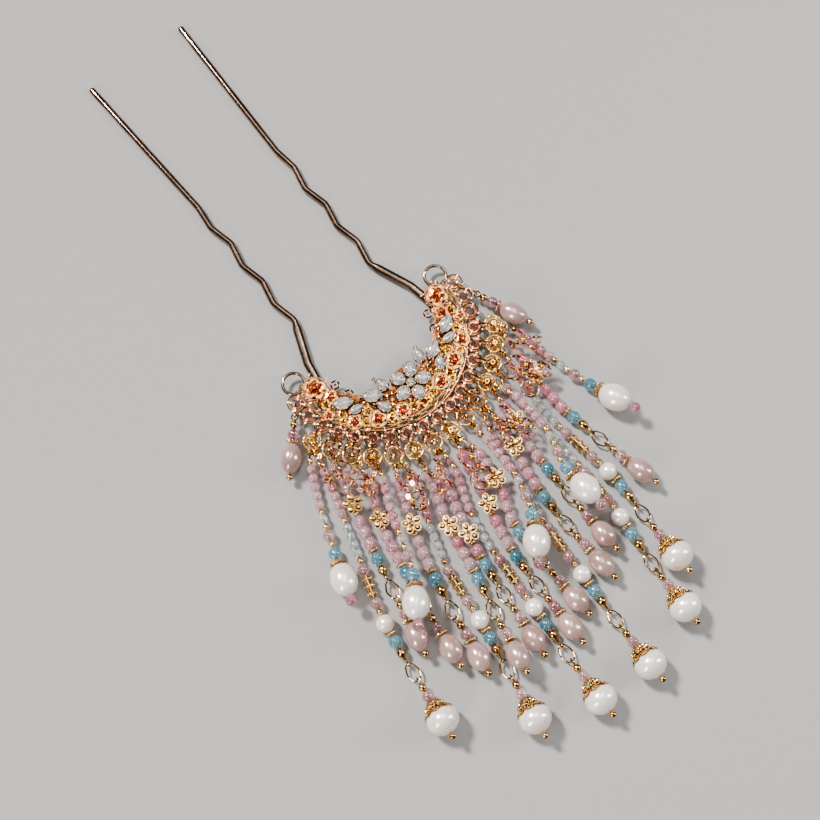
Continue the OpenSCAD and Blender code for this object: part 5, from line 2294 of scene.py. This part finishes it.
@dataclass
class Trinkets:
    """Short chains with crystal clusters, and thin gold hoops, that lie among the strings."""

    # Place, angle and number of chips
    clusters: Table = (
        (-25.3, -25.4, 15, 7), (-15.8, -35.6, -10, 7), (-1.4, -41.2, 5, 7), (12.1, -38.6, 20, 7),
        (22.8, -31.0, 35, 7), (-27.6, -21.4, -24, 4), (-21.4, -28.8, -25, 5), (-9.3, -38.2, -8, 6),
        (8.7, -37.8, 12, 5), (19.9, -31.4, 24, 6), (26.6, -25.6, 32, 5),
    )
    # Place, radius and angle
    hoops: Table = (
        (-25.6, -31.0, 2.5, 20), (-16.6, -41.6, 2.2, 60), (-2.4, -46.6, 2.4, 10),
        (25.6, -34.6, 2.6, -30), (-12.2, -38.8, 2.0, -20), (9.6, -43.2, 2.1, 35),
        (20.6, -37.0, 2.2, 50), (-28.4, -26.6, 1.9, 0),
    )
    lift: float = 4.6
    hoop_lift: float = 5.2
    hoop_wire: float = 0.16
    chip: Pair = (1.9, 1.8)
    copper: Pair = (1.6, 1.4)
    gold: Pair = (1.6, 1.5)
    link: Pair = (0.42, 0.13)
    pitch: float = 0.78

    def build(self) -> None:
        """Builds and dresses the trinkets."""
        crystals, coppers, golds = chips = tuple(list[Matrix]() for _ in range(3))
        chains = []
        for n, (x, y, a, count) in enumerate(self.clusters):
            base = shift(x, y, self.lift) @ turn(a)
            for k in range(count):
                swing, bob = math.sin(2.4 * k + n), 0.35 * math.cos(1.9 * k + n)
                spot = base @ shift(swing, -1.25 * k, bob) @ turn(50 * k, "X") @ turn(35 * k, "Y")
                chips[(k + n) % 3].append(spot @ grow(0.78 + 0.22 * math.sin(3.1 * k + n)))
            for s in (-1, 1):
                line = []
                for k in range(count + 3):
                    side = s * (1.3 + 0.5 * math.sin(1.1 * k))
                    line.append(base @ Vector((side, 2.2 - k, 0.2 * math.cos(k + s))))
                chains.append(line)
        link = Shape().add(loop(*self.link, 12, 6), Matrix.Diagonal((1.35, 0.9, 1.0, 1.0)))
        parts = [
            ROWS.lay("cluster", cut_bead(*self.chip, 7, 5), crystals, LILAC_CRYSTAL, seed=51),
            ROWS.lay("copper", cut_bead(*self.copper, 7, 5), coppers, COPPER, seed=52),
            ROWS.lay("golden", cut_bead(*self.gold, 7, 5), golds, YELLOW_GOLD, seed=53),
            CHAIN.hang("chain", chains, link, self.pitch, ROSE_GOLD),
        ]
        piece("crystal_clusters", parts)
        wires = []
        for x, y, r, a in self.hoops:
            place = shift(x, y, self.hoop_lift) @ turn(a) @ turn(14, "X")
            wires.append([place @ p for p in ring_points(r, 0.0, 40)[:34]])
        hoops = WIRE.draw("hoops", wires, self.hoop_wire, CHAMPAGNE)
        piece("thin_hoops", [hoops])


# The studio


@dataclass(frozen=True)
class SoftBox:
    """A soft box: where it hangs and its two sides in metres, its watts and its tint."""

    name: str
    place: Triple
    size: Pair
    power: float
    tint: Triple


@dataclass
class Studio:
    """Pale floor, soft lights and the camera at the photograph's angle."""

    azimuth: float = -38.94
    elevation: float = 75.04
    distance: float = 309.5
    lens: float = 57.07
    aim: Pair = (0.545, -15.691)
    paper: Triple = (0.285, 0.281, 0.277)
    half: float = 4.0
    key_at: Triple = (-0.10, 0.44, 0.50)
    key_power: float = 8.0
    key_width: float = 10.0
    key_tint: Triple = (1.0, 0.97, 0.93)
    room: Triple = (0.84, 0.83, 0.82)
    dim: float = 0.05
    pale: float = 0.66
    boxes: tuple[SoftBox, ...] = (
        SoftBox("overhead", (0.13, 0.16, 0.66), (0.46, 0.40), 1.15, (1.0, 0.98, 0.96)),
        SoftBox("streak", (0.17, 0.10, 0.66), (0.04, 0.40), 0.8, (1.0, 0.98, 0.96)),
        SoftBox("fill", (0.50, -0.30, 0.36), (0.08, 0.32), 3.2, (0.98, 0.99, 1.0)),
        SoftBox("left", (-0.52, -0.20, 0.34), (0.08, 0.32), 2.8, (1.0, 0.96, 0.92)),
    )

    def floor(self) -> None:
        """Lays the pale floor."""
        s, low = self.half, -2e-5
        data = bpy.data.meshes.new("floor")
        data.from_pydata([(-s, -s, low), (s, -s, low), (s, s, low), (-s, s, low)], [], [(0, 1, 2, 3)])
        paper = bpy.data.materials.new("pale_floor")
        paper.use_nodes = True
        tree = paper.node_tree
        surface = {"Base Color": (*self.paper, 1.0), "Roughness": 0.75}
        fill(tree, tree.nodes["Principled BSDF"], surface)
        data.materials.append(paper)
        linked("floor", data)

    def lights(self) -> None:
        """Hangs the soft boxes, and the main light far away behind the prongs."""
        key = bpy.data.lights.new("key", "SUN")
        key.energy, key.angle, key.color = self.key_power, math.radians(self.key_width), self.key_tint
        aimed("key", key, Vector(self.key_at), -Vector(self.key_at))
        for box in self.boxes:
            data = bpy.data.lights.new(box.name, "AREA")
            data.shape = "RECTANGLE"
            data.size, data.size_y = box.size
            data.energy, data.color = box.power, box.tint
            aimed(box.name, data, Vector(box.place), -Vector(box.place))

    def surroundings(self) -> None:
        """Makes the room dim for reflections and pale where the camera sees it past the floor."""
        world = bpy.data.worlds.new("surroundings")
        world.use_nodes = True
        tree = world.node_tree
        seen = add_node(tree, "ShaderNodeLightPath").outputs["Is Camera Ray"]
        span = {"Value": seen, "To Min": self.dim, "To Max": self.pale}
        power = add_node(tree, "ShaderNodeMapRange", span).outputs["Result"]
        fill(tree, tree.nodes["Background"], {"Color": (*self.room, 1.0), "Strength": power})
        bpy.context.scene.world = world

    def camera(self) -> None:
        """Sets up the camera."""
        data = bpy.data.cameras.new("camera")
        data.lens, data.sensor_width = self.lens, 36.0
        data.clip_start, data.clip_end = 0.01, 20.0
        a, e = math.radians(self.azimuth), math.radians(self.elevation)
        ahead = Vector((-math.sin(a) * math.cos(e), math.cos(a) * math.cos(e), -math.sin(e)))
        place = Vector((*self.aim, 0.0)) * MM - ahead * self.distance * MM
        bpy.context.scene.camera = aimed("camera", data, place, ahead)

    def build(self) -> None:
        """Sets up floor, lights, surroundings and camera."""
        self.floor()
        self.lights()
        self.surroundings()
        self.camera()


def main() -> None:
    """Builds every sub-assembly in order."""
    logging.basicConfig(level=logging.INFO, format="%(name)s: %(message)s")
    Studio().build()
    head, gems, hangers, beads = Crescent(), Gems(), Hangers(), Beads()
    Fork().build()
    head.build(gems)
    gems.build()
    hangers.build(head, COURSES)
    HornDrop("drop_left", 0, (-33.3, -14.6)).build(head, hangers)
    HornDrop("drop_right", 18, (30.28, -19.84)).build(head, hangers)
    for course in COURSES:
        BeadString(course, beads, hangers, head).build()
    Trinkets().build()


if __name__ == "__main__":
    main()
